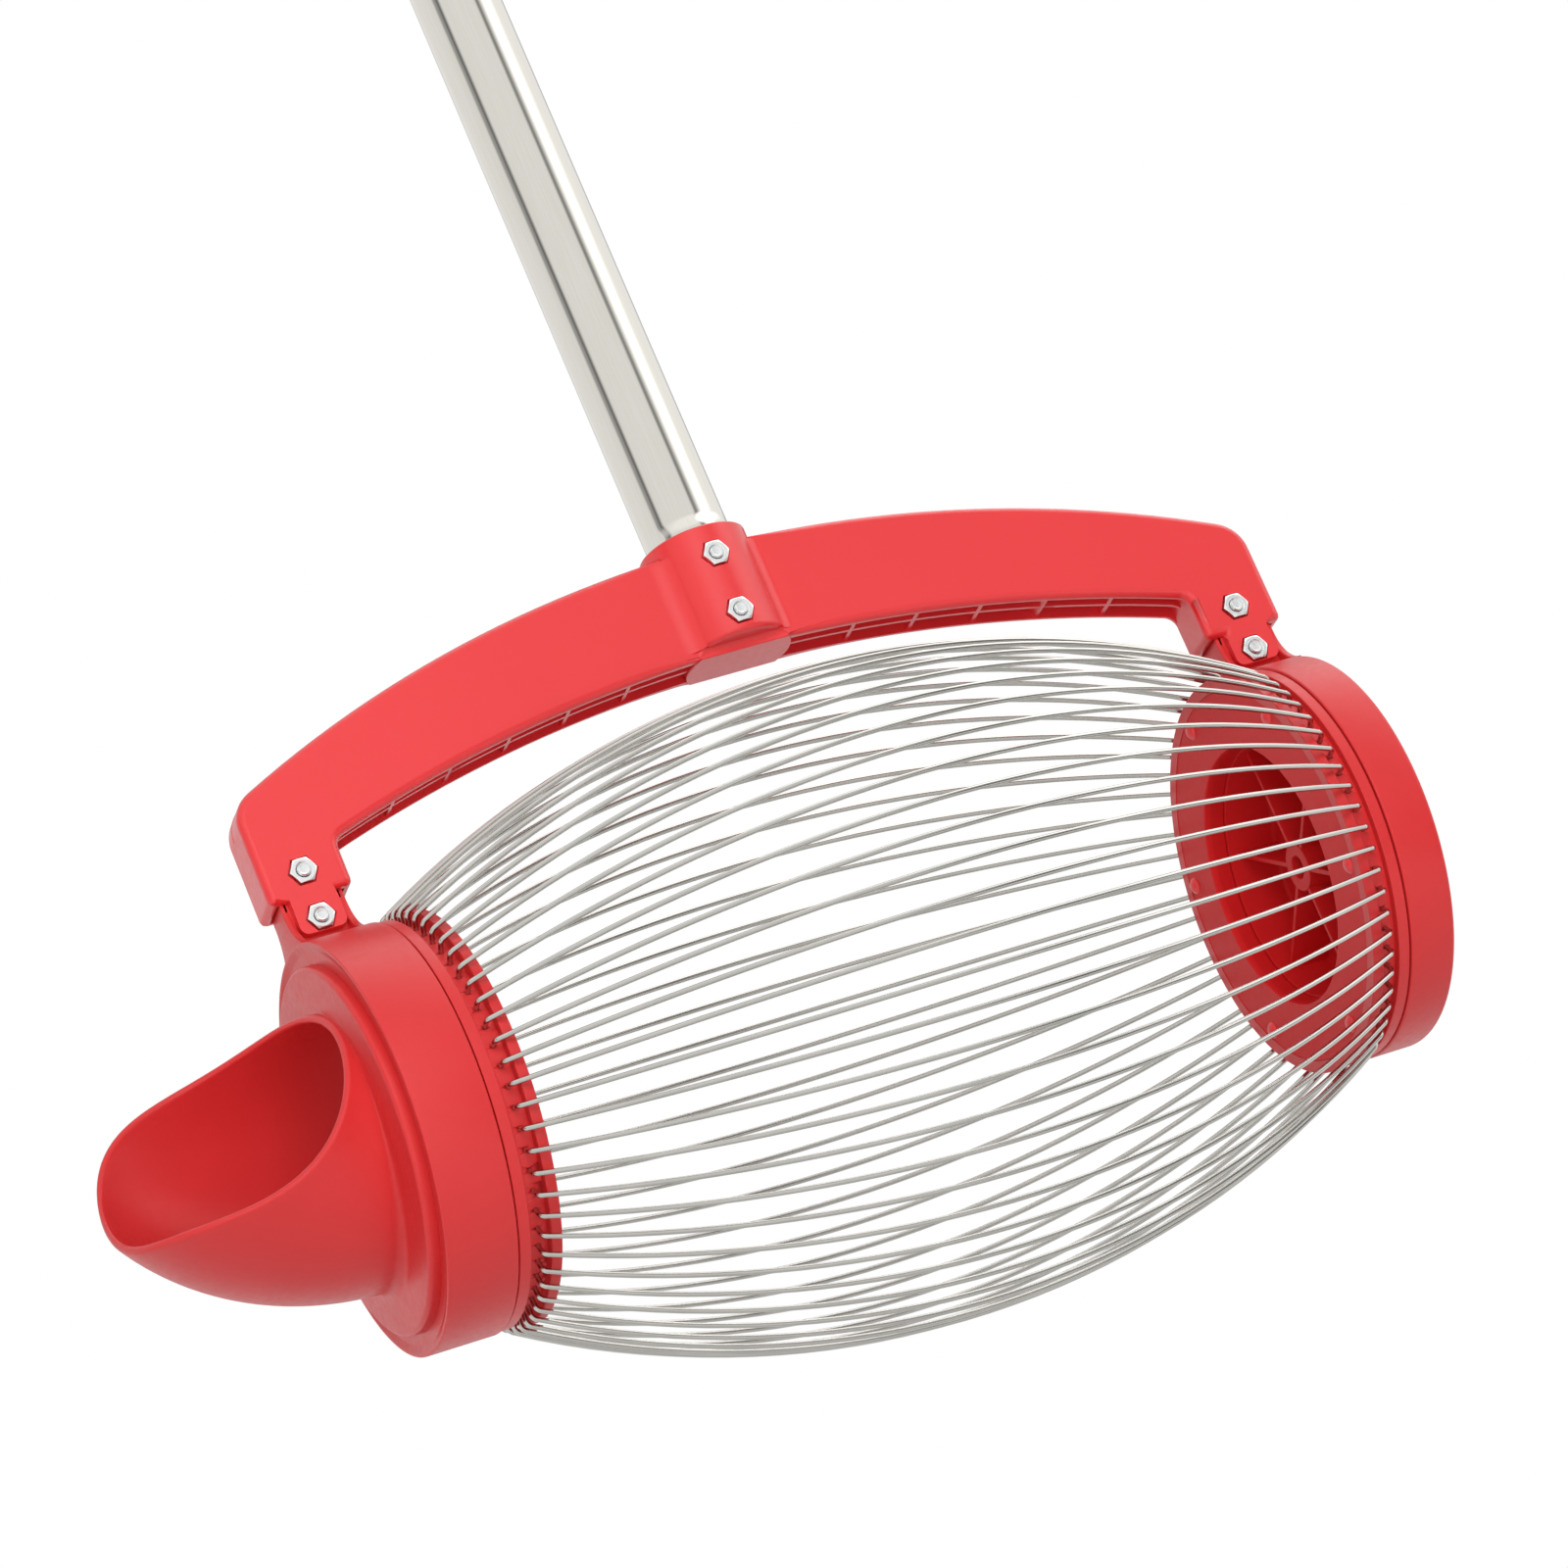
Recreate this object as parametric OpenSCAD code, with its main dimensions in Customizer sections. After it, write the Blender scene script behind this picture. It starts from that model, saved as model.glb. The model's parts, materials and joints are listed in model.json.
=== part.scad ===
// Rolling nut gatherer: a barrel-shaped wire cage that spins between two end caps, carried by an arched
// yoke on a long tube handle. Nuts press in between the wires and are poured out through the side spout.
// Lengths are in millimetres. The drum axis runs along X, the spout is at -X, the handle rises along +Z,
// and the front of the tool faces -Y. The origin is the middle of the hand grip, on the handle's axis.

/* [Cage] */
// Number of wires round the cage
wire_count = 60; // [40:10:70]
// Diameter of the wires
wire_d = 1.9; // [1.5:0.1:2.2]
// Outside diameter of the cage at its middle
cage_d = 239; // [225:1:250]
// Clear length of the cage between the two ring flanges
cage_l = 316; // [290:2:340]
// Centreline radius of the bend at each wire end
wire_bend_r = 3; // [2.5:0.5:4]
// Height of the wire's centreline over the flange at that bend
wire_lift = 1.8; // [1.5:0.1:3]
// Depth of a wire end in its hole
wire_seat = 5.5; // [4:0.5:6]

/* [Cage rings] */
// Diameter of the flange that the wires pass over
flange_d = 149.2; // [148:0.2:152]
// Thickness of the flange
flange_t = 4; // [3:0.5:5]
// Diameter at the bottom of the wire groove
groove_d = 141; // [140:0.5:143]
// Width of the wire groove
groove_w = 7; // [6:0.5:9]
// Diameter of the plain band next to the end cap
band_d = 147.2; // [145:0.2:148]
// Width of the plain band
band_w = 4.4; // [3:0.2:7]

/* [Webs and rivets] */
// Thickness of the annular web
web_t = 2.5; // [2:0.1:3]
// Diameter of the opening in the web
web_open_d = 97; // [90:1:102]
// Width of the ring lip round the web
web_lip = 4.8; // [4:0.2:5.4]
// Number of domed rivets in each web
rivet_count = 6; // [3:1:12]
// Diameter of the circle of rivets
rivet_pcd = 132; // [130:0.5:133]
// Shank diameter of a rivet
rivet_d = 4; // [3:0.5:4.5]
// Head diameter of a rivet
rivet_head_d = 6.4; // [5.5:0.1:7]
// Head height of a rivet
rivet_head_h = 1.8; // [1:0.1:2.5]

/* [Bearings] */
// Diameter of the journal that a ring turns on
journal_d = 114; // [108:1:115]
// Wall of the journal
journal_wall = 3.5; // [2.5:0.5:4.5]
// Height of the retaining collar over the journal
collar_h = 4.2; // [3:0.2:4.6]
// Thickness of the retaining collar
collar_t = 3.6; // [2.5:0.1:4]
// Running clearance round the journal
run_clear = 0.3; // [0.2:0.05:0.5]
// Running clearance beside the collar
run_gap = 0.4; // [0.3:0.05:0.6]
// Diameter of the hub in the right bearing dish
hub_d = 17; // [14:0.5:22]
// Diameter of the hole in that hub
hub_hole_d = 7; // [5:0.5:9]
// Height of the hub over the dish floor
hub_h = 10; // [8:0.5:13]
// Number of ribs in the dish
dish_ribs = 6; // [3:1:8]

/* [End caps] */
// Outside diameter of the end caps
cap_d = 148.4; // [146:0.2:152]
// Wall of the end caps
cap_wall = 3; // [2.5:0.1:4]
// Width of the left end cap
left_cap_w = 26.1; // [25:0.1:32]
// Width of the right end cap
right_cap_w = 18; // [16:0.5:22]
// Gap between a turning ring and its end cap
cap_gap = 0.5; // [0.4:0.1:1]
// Radius of the outer edge of the end caps
cap_edge_r = 3; // [1:0.5:4]

/* [Lugs] */
// Length of a lug along the drum axis
lug_w = 23.6; // [22:0.1:26]
// Thickness of the two gusset walls of a lug
gusset_t = 2.7; // [2:0.1:3]
// Height over the cap at which the gussets start to flare
flare_h = 14; // [10:0.5:15]
// Height of the lug over its upper bolt
lug_head = 11; // [8:0.5:12]

/* [Spout] */
// Outside diameter of the spout
spout_d = 100; // [92:1:104]
// Wall of the spout
spout_wall = 2.8; // [2:0.1:3.4]
// Reach of the spout from its flange disc to its lip
spout_reach = 93; // [85:1:105]
// Direction in which the spout opens, from +Y towards +Z
spout_turn = 136.8; // [90:0.2:180]
// Diameter of the flange disc
disc_d = 132; // [124:1:136]
// Thickness of the flange disc
disc_t = 3.5; // [2.5:0.1:5]
// Straight length of the spout before it bends
spout_neck = 3.5; // [2:0.5:6]

/* [Yoke] */
// Thickness of the yoke from front to rear
yoke_t = 22; // [20:0.5:26]
// Thickness of its front and rear walls
yoke_wall = 3.5; // [3:0.1:4]
// Thickness of its roof
yoke_roof = 3; // [2:0.1:4]
// Gap between the cage and the arch at the middle
arch_clear = 17; // [12:0.5:26]
// Depth of the arch at the middle
arch_depth = 41.5; // [36:0.5:48]
// Fall of the top line from the middle to the corners
arch_fall = 41; // [36:0.5:44]
// Fall of the underside from the middle to the legs
under_fall = 27.5; // [22:0.5:30]
// Radius of the outer corners
corner_r = 14; // [8:0.5:16]
// Radius between the underside and the legs
inner_r = 5; // [2:0.5:8]
// Width of a leg along the drum axis
leg_w = 31.5; // [31:0.1:36]
// Height of the legs' lower edge over the end caps
ledge_rise = 16.8; // [15.5:0.1:19]
// Width of the tongue that hangs from each leg wall
tongue_w = 17.3; // [15:0.1:17.6]
// Gap between a tongue and the end cap
tongue_gap = 2.8; // [2:0.1:4]
// Radius of a tongue's lower corners
tongue_r = 3; // [1:0.5:5]
// Thickness of the ribs under the arch
rib_t = 1.5; // [1:0.1:3]
// Height of the ribs' edge over the underside
rib_recess = 1; // [0.5:0.1:5]
// Number of cross ribs on each side of the socket
rib_count = 5; // [2:1:6]
// Distance of the first cross rib from the handle
rib_start = 45; // [30:1:50]
// Spacing of the cross ribs
rib_pitch = 24.6; // [15:0.1:25]

/* [Handle] */
// Outside diameter of the handle tube
tube_d = 32; // [30:0.5:34]
// Wall of the handle tube
tube_wall = 1.2; // [0.8:0.1:2]
// Wall of the socket round the tube
socket_wall = 4.4; // [4:0.1:6]
// Height of the socket rim over the arch
socket_rise = 4.7; // [2:0.1:10]
// Drop of the socket floor below the underside of the arch
socket_drop = 3.5; // [1:0.1:8]
// Thickness of the socket floor
socket_floor = 4; // [2:0.1:6]
// Length of the lower tube
lower_tube_l = 420; // [300:5:700]
// Length of the upper tube
upper_tube_l = 370; // [250:5:600]
// Length of the joiner sleeve inside both tubes
joiner_l = 120; // [80:2:160]
// Wall of the joiner sleeve
joiner_wall = 1.5; // [1:0.1:2.5]
// Diameter of the joiner's cross pins
joiner_pin_d = 4; // [3:0.5:6]
// Length of the hand grip
grip_l = 125; // [100:1:180]
// Wall of the hand grip
grip_wall = 3.4; // [2:0.1:6]
// Radius of the grip's end edges
grip_edge_r = 2; // [1:0.1:2]
// Depth of the end plug in the tube
plug_depth = 18; // [10:1:30]
// Height of the plug's head over the tube
plug_head_h = 5; // [3:0.5:8]

/* [Fasteners] */
// Thread diameter of all bolts
bolt_d = 5; // [4:0.5:5]
// Width across the flats of nuts and bolt heads
hex_af = 8; // [7:0.1:8.6]
// Height of the nuts
nut_h = 3.6; // [3:0.1:4.5]
// Height of the bolt heads
head_h = 3.5; // [2.5:0.1:5]
// Depth of the nut pockets
pocket_h = 2.5; // [1.5:0.1:2.7]
// Height of the lower leg bolt over the end cap
leg_bolt_rise = 8; // [7.5:0.1:9]
// Distance between the two leg bolts
leg_bolt_pitch = 17.9; // [14:0.1:20]
// Distance of the upper socket bolt below the top of the arch
socket_bolt_drop = 7.4; // [7:0.1:10]
// Distance between the two socket bolts
socket_bolt_pitch = 23.6; // [18:0.1:26]

/* [Hidden] */
$fn = 96;
overrun = 1;
// Clearance of pieces that are fastened together
fit = 0.1;
// Clearance of bolts in moulded holes
bolt_clear = 0.2;
// Clearance of nuts in their pockets, across flats
pocket_clear = 0.7;
// Depth of a web's face below the flange face
web_inset = 0.2;
// Depth of a rivet in its ring
rivet_seat = 3.2;
// Length of the spigot that centres a journal in its cap
spigot_l = 8;
// Wall of that spigot
spigot_wall = 2.5;
// Thickness of the right dish's floor, its ribs and its inner step
dish_floor = 3;
dish_rib_t = 1.8;
dish_rib_h = 7;
dish_step_h = 3.5;
dish_step_w = 7;
// Fillet and edge radii of the spout
spout_fillet = 3;
disc_edge_r = 1.2;
// Bolt end that shows past its nut
bolt_end = 0.5;
// Edge radius of the plug's head
plug_edge_r = 2;
// Wire banks: the wires are grouped in equal sectors
bank_count = 10;
// Slight swell of a wire where its end is bent down
swell_share = 1.04;
// Shares of the reach and of the radius that shape the spout's lip, from the cap to the tip
lip_shares = [[0.01, 1.09], [0.285, 0.09], [0.758, 0.51], [0.937, -0.04]];
lip_run_on_share = 1.2;
lip_steps = 24;
arc_steps = 48;
corner_steps = 10;

red = [0.86, 0.17, 0.18];
polished = [0.82, 0.80, 0.76];
wire_steel = [0.66, 0.65, 0.62];
zinc = [0.82, 0.84, 0.83];
black = [0.12, 0.12, 0.13];

// Places along the drum axis, from the middle outwards
flange_x = cage_l / 2;
groove_x = flange_x + flange_t;
hole_x = groove_x + groove_w / 2;
band_x = groove_x + groove_w;
ring_end_x = band_x + band_w;
seat_x = flange_x + web_inset + web_t;
collar_x = seat_x + run_gap;
collar_end_x = collar_x + collar_t;
shoulder_x = collar_end_x + run_gap;
cap_x = ring_end_x + cap_gap;
left_face_x = cap_x + left_cap_w;
right_face_x = cap_x + right_cap_w;
left_floor_x = left_face_x - cap_wall;
right_floor_x = right_face_x - cap_wall;
lug_end_x = cap_x + lug_w;
bolt_x = cap_x + lug_w / 2;
leg_in_x = bolt_x - leg_w / 2;
leg_out_x = bolt_x + leg_w / 2;

// Radii round the drum axis
wire_r = wire_d / 2;
flange_r = flange_d / 2;
groove_r = groove_d / 2;
band_r = band_d / 2;
web_r = flange_r - web_lip;
cap_r = cap_d / 2;
journal_r = journal_d / 2;
journal_in_r = journal_r - journal_wall;
collar_r = journal_r + collar_h;
bore_r = journal_r + run_clear;
recess_r = collar_r + run_clear;
spigot_r = journal_r + fit + spigot_wall;
spout_r = spout_d / 2;
throat_r = spout_r - spout_wall;
neck_hole_r = journal_in_r - journal_wall;
disc_r = disc_d / 2;

// The wire's bow: one large arc that runs into the bend at each end
wire_apex = cage_d / 2 - wire_r;
bend_x = hole_x - wire_bend_r;
bend_z = flange_r + wire_lift - wire_bend_r;
bow_drop = wire_apex - bend_z;
bow_rise = bow_drop - wire_bend_r;
bow_r = (bend_x * bend_x + bow_drop * bow_drop - wire_bend_r * wire_bend_r) / (2 * bow_rise);
bow_angle = asin(bend_x / (bow_r - wire_bend_r));
leg_foot = groove_r - wire_seat;
wires_per_bank = wire_count / bank_count;
wire_step = 360 / wire_count;
rivet_phase = -wire_step * 3 / 2;

// The spout's bend, so that its outer wall meets the lip at the stated reach
spout_x = left_face_x + disc_t + spout_neck;
spout_run = spout_reach - spout_neck;
spout_bend_r = (spout_run * spout_run - spout_r * spout_r) / (2 * spout_r);
spout_sweep = 90;

// Heights of the yoke over the drum axis
under_top_z = cage_d / 2 + arch_clear;
arch_top_z = under_top_z + arch_depth;
ledge_z = cap_r + ledge_rise;
tongue_z = cap_r + tongue_gap;
low_bolt_z = cap_r + leg_bolt_rise;
high_bolt_z = low_bolt_z + leg_bolt_pitch;
lug_top_z = high_bolt_z + lug_head;
flare_z = cap_r + flare_h;
corner_x = leg_out_x - corner_r;
arch_r = (corner_x * corner_x + arch_fall * arch_fall) / (2 * arch_fall);
arch_mid_z = arch_top_z - arch_r;
under_r = (leg_in_x * leg_in_x + under_fall * under_fall) / (2 * under_fall);
under_mid_z = under_top_z - under_r;
inner_half = yoke_t / 2 - yoke_wall;
lug_half = inner_half - fit;
flare_r = (pow(lug_half, 2) + pow(flare_z, 2) - pow(cap_r, 2)) / (2 * (cap_r - lug_half));

// Heights of the handle over the drum axis
tube_r = tube_d / 2;
tube_in_r = tube_r - tube_wall;
socket_r = tube_r + fit;
boss_r = socket_r + socket_wall;
boss_z = under_top_z - socket_drop;
boss_top_z = arch_top_z + socket_rise;
tube_z = boss_z + socket_floor;
joint_z = tube_z + lower_tube_l;
tube_top_z = joint_z + upper_tube_l;
grip_r = tube_r + fit + grip_wall;
grip_mid_z = tube_top_z - grip_l / 2;
joiner_r = tube_in_r - fit;
high_socket_z = arch_top_z - socket_bolt_drop;
low_socket_z = high_socket_z - socket_bolt_pitch;

hex_r = hex_af / 2 / cos(30);
pocket_r = (hex_af + pocket_clear) / 2 / cos(30);
bolt_r = bolt_d / 2;
hole_r = bolt_r + bolt_clear;

FIXED_NODES = [
    "yoke", "left_end_cap", "spout", "right_end_cap", "left_bearing_sleeve", "right_bearing_dish",
    "left_ring", "right_ring", "left_web", "right_web", "left_web_rivets", "right_web_rivets",
    "leg_bolts", "leg_nuts", "socket_bolts", "socket_nuts",
    "lower_tube", "tube_joiner", "joiner_pins", "upper_tube", "hand_grip", "handle_plug"
];

function arc(centre, r, from, to, steps) =
    [for (i = [0:steps]) let (a = from + (to - from) * i / steps) centre + r * [cos(a), sin(a)]];

function mirrored(points) = [for (i = [len(points) - 1:-1:0]) [-points[i][0], points[i][1]]];

function bezier(p, t) =
    pow(1 - t, 3) * p[0] + 3 * pow(1 - t, 2) * t * p[1] + 3 * (1 - t) * t * t * p[2] + pow(t, 3) * p[3];

// Moves the drum-centred parts so that the hand grip's middle is the origin
module from_grip() {
    translate([0, 0, -grip_mid_z]) children();
}

// Revolves a section of [radius, place along X] round the drum axis
module about_drum() {
    rotate([0, 90, 0]) rotate_extrude() children();
}

module band_section(inner, outer, from, to) {
    translate([inner, from]) square([outer - inner, to - from]);
}

// Extrudes an outline of [x, z] to a plate of the given thickness, centred on the yoke's middle plane
module plate(thickness) {
    rotate([90, 0, 0]) linear_extrude(height = thickness, center = true) children();
}

// Extrudes an outline of [y, z] along the drum axis
module along_drum(from, to) {
    translate([from, 0, 0]) rotate([90, 0, 90]) linear_extrude(height = to - from) children();
}

// A rod along Y, from the front to the rear
module cross_rod(x, z, r, front, rear, sides = 96) {
    translate([x, rear, z]) rotate([90, 0, 0]) cylinder(r = r, h = rear - front, $fn = sides);
}

// Cage wires
module wire_end() {
    meet_x = bow_r * sin(bow_angle);
    meet_z = wire_apex - bow_r * (1 - cos(bow_angle));
    translate([hole_x, 0, leg_foot]) cylinder(r = wire_r, h = bend_z - leg_foot);
    translate([bend_x, 0, bend_z]) rotate([90, 0, 0]) rotate_extrude(angle = 90 - bow_angle)
        translate([wire_bend_r, 0]) circle(r = wire_r);
    translate([meet_x, 0, meet_z]) sphere(r = wire_r * swell_share);
}

module wire() {
    wire_end();
    mirror([1, 0, 0]) wire_end();
    translate([0, 0, wire_apex - bow_r]) rotate([90, 0, 0]) rotate([0, 0, 90 - bow_angle])
        rotate_extrude(angle = 2 * bow_angle) translate([bow_r, 0]) circle(r = wire_r);
}

module wire_bank(bank) {
    color(wire_steel)
        for (i = [0:wires_per_bank - 1])
            rotate([((bank - 1) * wires_per_bank + i) * wire_step, 0, 0]) wire();
}

// Cage rings, drawn at the right end
module rivet_places() {
    for (i = [0:rivet_count - 1])
        rotate([rivet_phase + i * 360 / rivet_count, 0, 0]) translate([0, 0, rivet_pcd / 2]) children();
}

module ring() {
    section = [
        [web_r + fit, flange_x], [flange_r, flange_x], [flange_r, groove_x], [groove_r, groove_x],
        [groove_r, band_x], [band_r, band_x], [band_r, ring_end_x], [bore_r, ring_end_x],
        [bore_r, shoulder_x], [recess_r, shoulder_x], [recess_r, seat_x], [web_r + fit, seat_x]
    ];
    color(red) difference() {
        about_drum() polygon(section);
        for (i = [0:wire_count - 1])
            rotate([i * wire_step, 0, 0]) translate([hole_x, 0, leg_foot - fit])
                cylinder(r = wire_r + fit, h = flange_r - leg_foot);
        rivet_places() translate([seat_x - overrun, 0, 0]) rotate([0, 90, 0])
            cylinder(r = rivet_d / 2 + fit, h = rivet_seat + fit + overrun);
    }
}

module web() {
    color(red) difference() {
        about_drum() band_section(web_open_d / 2, web_r, flange_x + web_inset, seat_x);
        rivet_places() translate([flange_x - overrun, 0, 0]) rotate([0, 90, 0])
            cylinder(r = rivet_d / 2 + fit, h = web_inset + web_t + 2 * overrun);
    }
}

module web_rivets() {
    head_r = rivet_head_d / 2;
    dome_r = (head_r * head_r + rivet_head_h * rivet_head_h) / (2 * rivet_head_h);
    face_x = flange_x + web_inset;
    color(red) rivet_places() {
        translate([face_x, 0, 0]) rotate([0, 90, 0])
            cylinder(r = rivet_d / 2, h = web_t + rivet_seat);
        translate([face_x, 0, 0]) rotate([0, -90, 0]) rotate_extrude() intersection() {
            translate([0, rivet_head_h - dome_r]) circle(r = dome_r);
            square([head_r, rivet_head_h]);
        }
    }
}

// Fixed bearings inside the end caps
module journal_section(end_x) {
    band_section(journal_in_r, journal_r, collar_x, end_x);
    band_section(journal_in_r, collar_r, collar_x, collar_end_x);
}

module left_bearing_sleeve() {
    color(red) mirror([1, 0, 0]) about_drum() journal_section(left_floor_x);
}

module right_bearing_dish() {
    floor_x = right_floor_x - dish_floor;
    color(red) difference() {
        union() {
            about_drum() {
                journal_section(right_floor_x);
                band_section(0, journal_r, floor_x, right_floor_x);
                band_section(journal_in_r - dish_step_w, journal_r, floor_x - dish_step_h, right_floor_x);
                band_section(0, hub_d / 2, floor_x - hub_h, right_floor_x);
            }
            for (i = [0:dish_ribs - 1])
                rotate([i * 360 / dish_ribs, 0, 0])
                    translate([floor_x - dish_rib_h, -dish_rib_t / 2, 0])
                        cube([dish_rib_h + dish_floor, dish_rib_t, journal_r - journal_wall / 2]);
        }
        translate([floor_x - hub_h - overrun, 0, 0]) rotate([0, 90, 0])
            cylinder(r = hub_hole_d / 2, h = hub_h + overrun);
    }
}

// End caps, drawn at the right end
module cap_section(face_x, hole_r) {
    difference() {
        band_section(hole_r, cap_r, cap_x, face_x);
        band_section(0, cap_r - cap_wall, cap_x - overrun, face_x - cap_wall);
        difference() {
            translate([cap_r - cap_edge_r, face_x - cap_edge_r]) square(cap_edge_r + overrun);
            translate([cap_r - cap_edge_r, face_x - cap_edge_r]) circle(r = cap_edge_r);
        }
    }
    band_section(journal_r + fit, spigot_r, face_x - cap_wall - spigot_l, face_x - cap_wall);
}

// The flared outline of a gusset, which runs tangentially into the cap
module gusset_outline() {
    flare_y = lug_half + flare_r;
    foot_share = cap_r / (cap_r + flare_r);
    difference() {
        translate([-flare_y * foot_share, flare_z * foot_share])
            square([2 * flare_y * foot_share, flare_z * (1 - foot_share)]);
        for (side = [-1, 1])
            translate([side * flare_y, flare_z]) circle(r = flare_r);
    }
    intersection() {
        difference() {
            circle(r = cap_r);
            circle(r = cap_r - cap_wall);
        }
        translate([-flare_y * foot_share, 0]) square([2 * flare_y * foot_share, cap_r]);
    }
}

module lug() {
    neck_z = cap_r - cap_wall / 2;
    difference() {
        union() {
            translate([cap_x, -lug_half, neck_z]) cube([lug_w, 2 * lug_half, lug_top_z - neck_z]);
            along_drum(cap_x, cap_x + gusset_t) gusset_outline();
            along_drum(lug_end_x - gusset_t, lug_end_x) gusset_outline();
        }
        for (z = [low_bolt_z, high_bolt_z])
            cross_rod(bolt_x, z, hole_r, -yoke_t, yoke_t);
    }
}

// The strip of rim that carries a lug past the face of a narrow cap
module lug_shelf(face_x) {
    intersection() {
        about_drum() band_section(cap_r - cap_wall, cap_r, face_x - cap_wall, lug_end_x);
        translate([0, -lug_half - cap_wall, 0]) cube([lug_end_x, 2 * (lug_half + cap_wall), cap_r]);
    }
}

module left_end_cap() {
    color(red) mirror([1, 0, 0]) {
        about_drum() cap_section(left_face_x, neck_hole_r);
        lug();
    }
}

module right_end_cap() {
    color(red) {
        about_drum() cap_section(right_face_x, 0);
        lug_shelf(right_face_x);
        lug();
    }
}

// Spout, drawn towards +X and opening towards +Y, then turned to its place
module spout_elbow(r) {
    translate([spout_x, spout_bend_r, 0]) rotate([0, 0, -90])
        rotate_extrude(angle = spout_sweep) translate([spout_bend_r, 0]) circle(r = r);
}

module lip_cut() {
    foot_x = left_face_x + disc_t;
    points = [for (share = lip_shares) [foot_x + spout_reach * share[0], spout_r * share[1]]];
    far = points[3] + lip_run_on_share * (points[3] - points[2]);
    reach = foot_x + 2 * spout_reach;
    curve = [for (i = [0:lip_steps]) bezier(points, i / lip_steps)];
    linear_extrude(height = 2 * spout_d, center = true)
        polygon(concat(curve, [far, [reach, far[1]], [reach, 2 * spout_d], [points[0][0], 2 * spout_d]]));
}

module disc_section() {
    edge = left_face_x + disc_t - disc_edge_r;
    difference() {
        band_section(0, disc_r, left_face_x, left_face_x + disc_t);
        difference() {
            translate([disc_r - disc_edge_r, edge]) square(disc_edge_r + overrun);
            translate([disc_r - disc_edge_r, edge]) circle(r = disc_edge_r);
        }
    }
}

module fillet_section() {
    foot_x = left_face_x + disc_t;
    difference() {
        translate([spout_r - spout_wall / 2, foot_x - disc_t / 2])
            square([spout_fillet + spout_wall / 2, spout_fillet + disc_t / 2]);
        translate([spout_r + spout_fillet, foot_x + spout_fillet]) circle(r = spout_fillet);
    }
}

module spout() {
    color(red) mirror([1, 0, 0]) rotate([spout_turn, 0, 0]) difference() {
        union() {
            about_drum() {
                disc_section();
                fillet_section();
                band_section(0, spout_r, left_face_x, spout_x);
                band_section(0, neck_hole_r - fit, left_floor_x, left_face_x);
            }
            spout_elbow(spout_r);
        }
        about_drum() band_section(0, neck_hole_r - fit - spout_wall, left_floor_x - overrun, left_face_x);
        about_drum() band_section(0, throat_r, left_face_x, spout_x);
        spout_elbow(throat_r);
        lip_cut();
    }
}

// Yoke outlines in [x, z]
function roof_line(inset) =
    let (
        top_r = arch_r - inset,
        r = corner_r - inset,
        z = arch_mid_z + sqrt(pow(arch_r - corner_r, 2) - corner_x * corner_x),
        turn = atan2(z - arch_mid_z, corner_x)
    )
    concat(
        arc([corner_x, z], r, 0, turn, corner_steps),
        arc([0, arch_mid_z], top_r, turn, 180 - turn, arc_steps),
        arc([-corner_x, z], r, 180 - turn, 180, corner_steps)
    );

module roof_outline(inset, foot_z) {
    line = roof_line(inset);
    polygon(concat(line, [[-leg_out_x + inset, foot_z], [leg_out_x - inset, foot_z]]));
}

module under_arch(grow) {
    r = inner_r + grow;
    big_r = under_r + grow;
    centre_x = leg_in_x - inner_r;
    centre_z = under_mid_z + sqrt(pow(under_r - inner_r, 2) - centre_x * centre_x);
    turn = atan2(centre_z - under_mid_z, centre_x);
    right = arc([centre_x, centre_z], r, 0, turn, corner_steps);
    polygon(concat(
        [[leg_in_x + grow, 0]], right,
        arc([0, under_mid_z], big_r, turn, 180 - turn, arc_steps),
        mirrored(right), [[-leg_in_x - grow, 0]]
    ));
}

module yoke_outline() {
    difference() {
        roof_outline(0, ledge_z);
        under_arch(0);
    }
}

// The open channel under the arch and the pockets of the two legs
module hollow_outline() {
    intersection() {
        roof_outline(yoke_roof, 0);
        union() {
            translate([-leg_in_x, 0]) square([2 * leg_in_x, arch_top_z]);
            for (side = [-1, 1])
                translate([side * bolt_x - leg_w / 2 + yoke_roof, 0])
                    square([leg_w - 2 * yoke_roof, arch_top_z]);
        }
    }
}

module rib_outline() {
    difference() {
        roof_outline(yoke_roof / 2, 0);
        under_arch(rib_recess);
        for (side = [-1, 1])
            translate([side * bolt_x - leg_w / 2, 0]) square([leg_w, arch_top_z]);
    }
}

module yoke_ribs() {
    plate(rib_t) rib_outline();
    for (side = [-1, 1])
        for (i = [0:rib_count - 1])
            plate(yoke_t - yoke_wall) intersection() {
                rib_outline();
                translate([side * (rib_start + i * rib_pitch) - rib_t / 2, 0]) square([rib_t, arch_top_z]);
            }
}

module tongue_outline() {
    half = tongue_w / 2;
    polygon(concat(
        [[half, ledge_z + yoke_roof], [-half, ledge_z + yoke_roof]],
        arc([tongue_r - half, tongue_z + tongue_r], tongue_r, 180, 270, corner_steps),
        arc([half - tongue_r, tongue_z + tongue_r], tongue_r, 270, 360, corner_steps)
    ));
}

module tongues() {
    for (side = [-1, 1])
        for (front = [-1, 1])
            translate([side * bolt_x, front * (yoke_t - yoke_wall) / 2, 0])
                plate(yoke_wall) tongue_outline();
}

module bolt_places() {
    for (side = [-1, 1])
        for (z = [low_bolt_z, high_bolt_z])
            translate([side * bolt_x, 0, z]) children();
}

module socket_bolt_places() {
    for (z = [low_socket_z, high_socket_z])
        translate([0, 0, z]) children();
}

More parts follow.
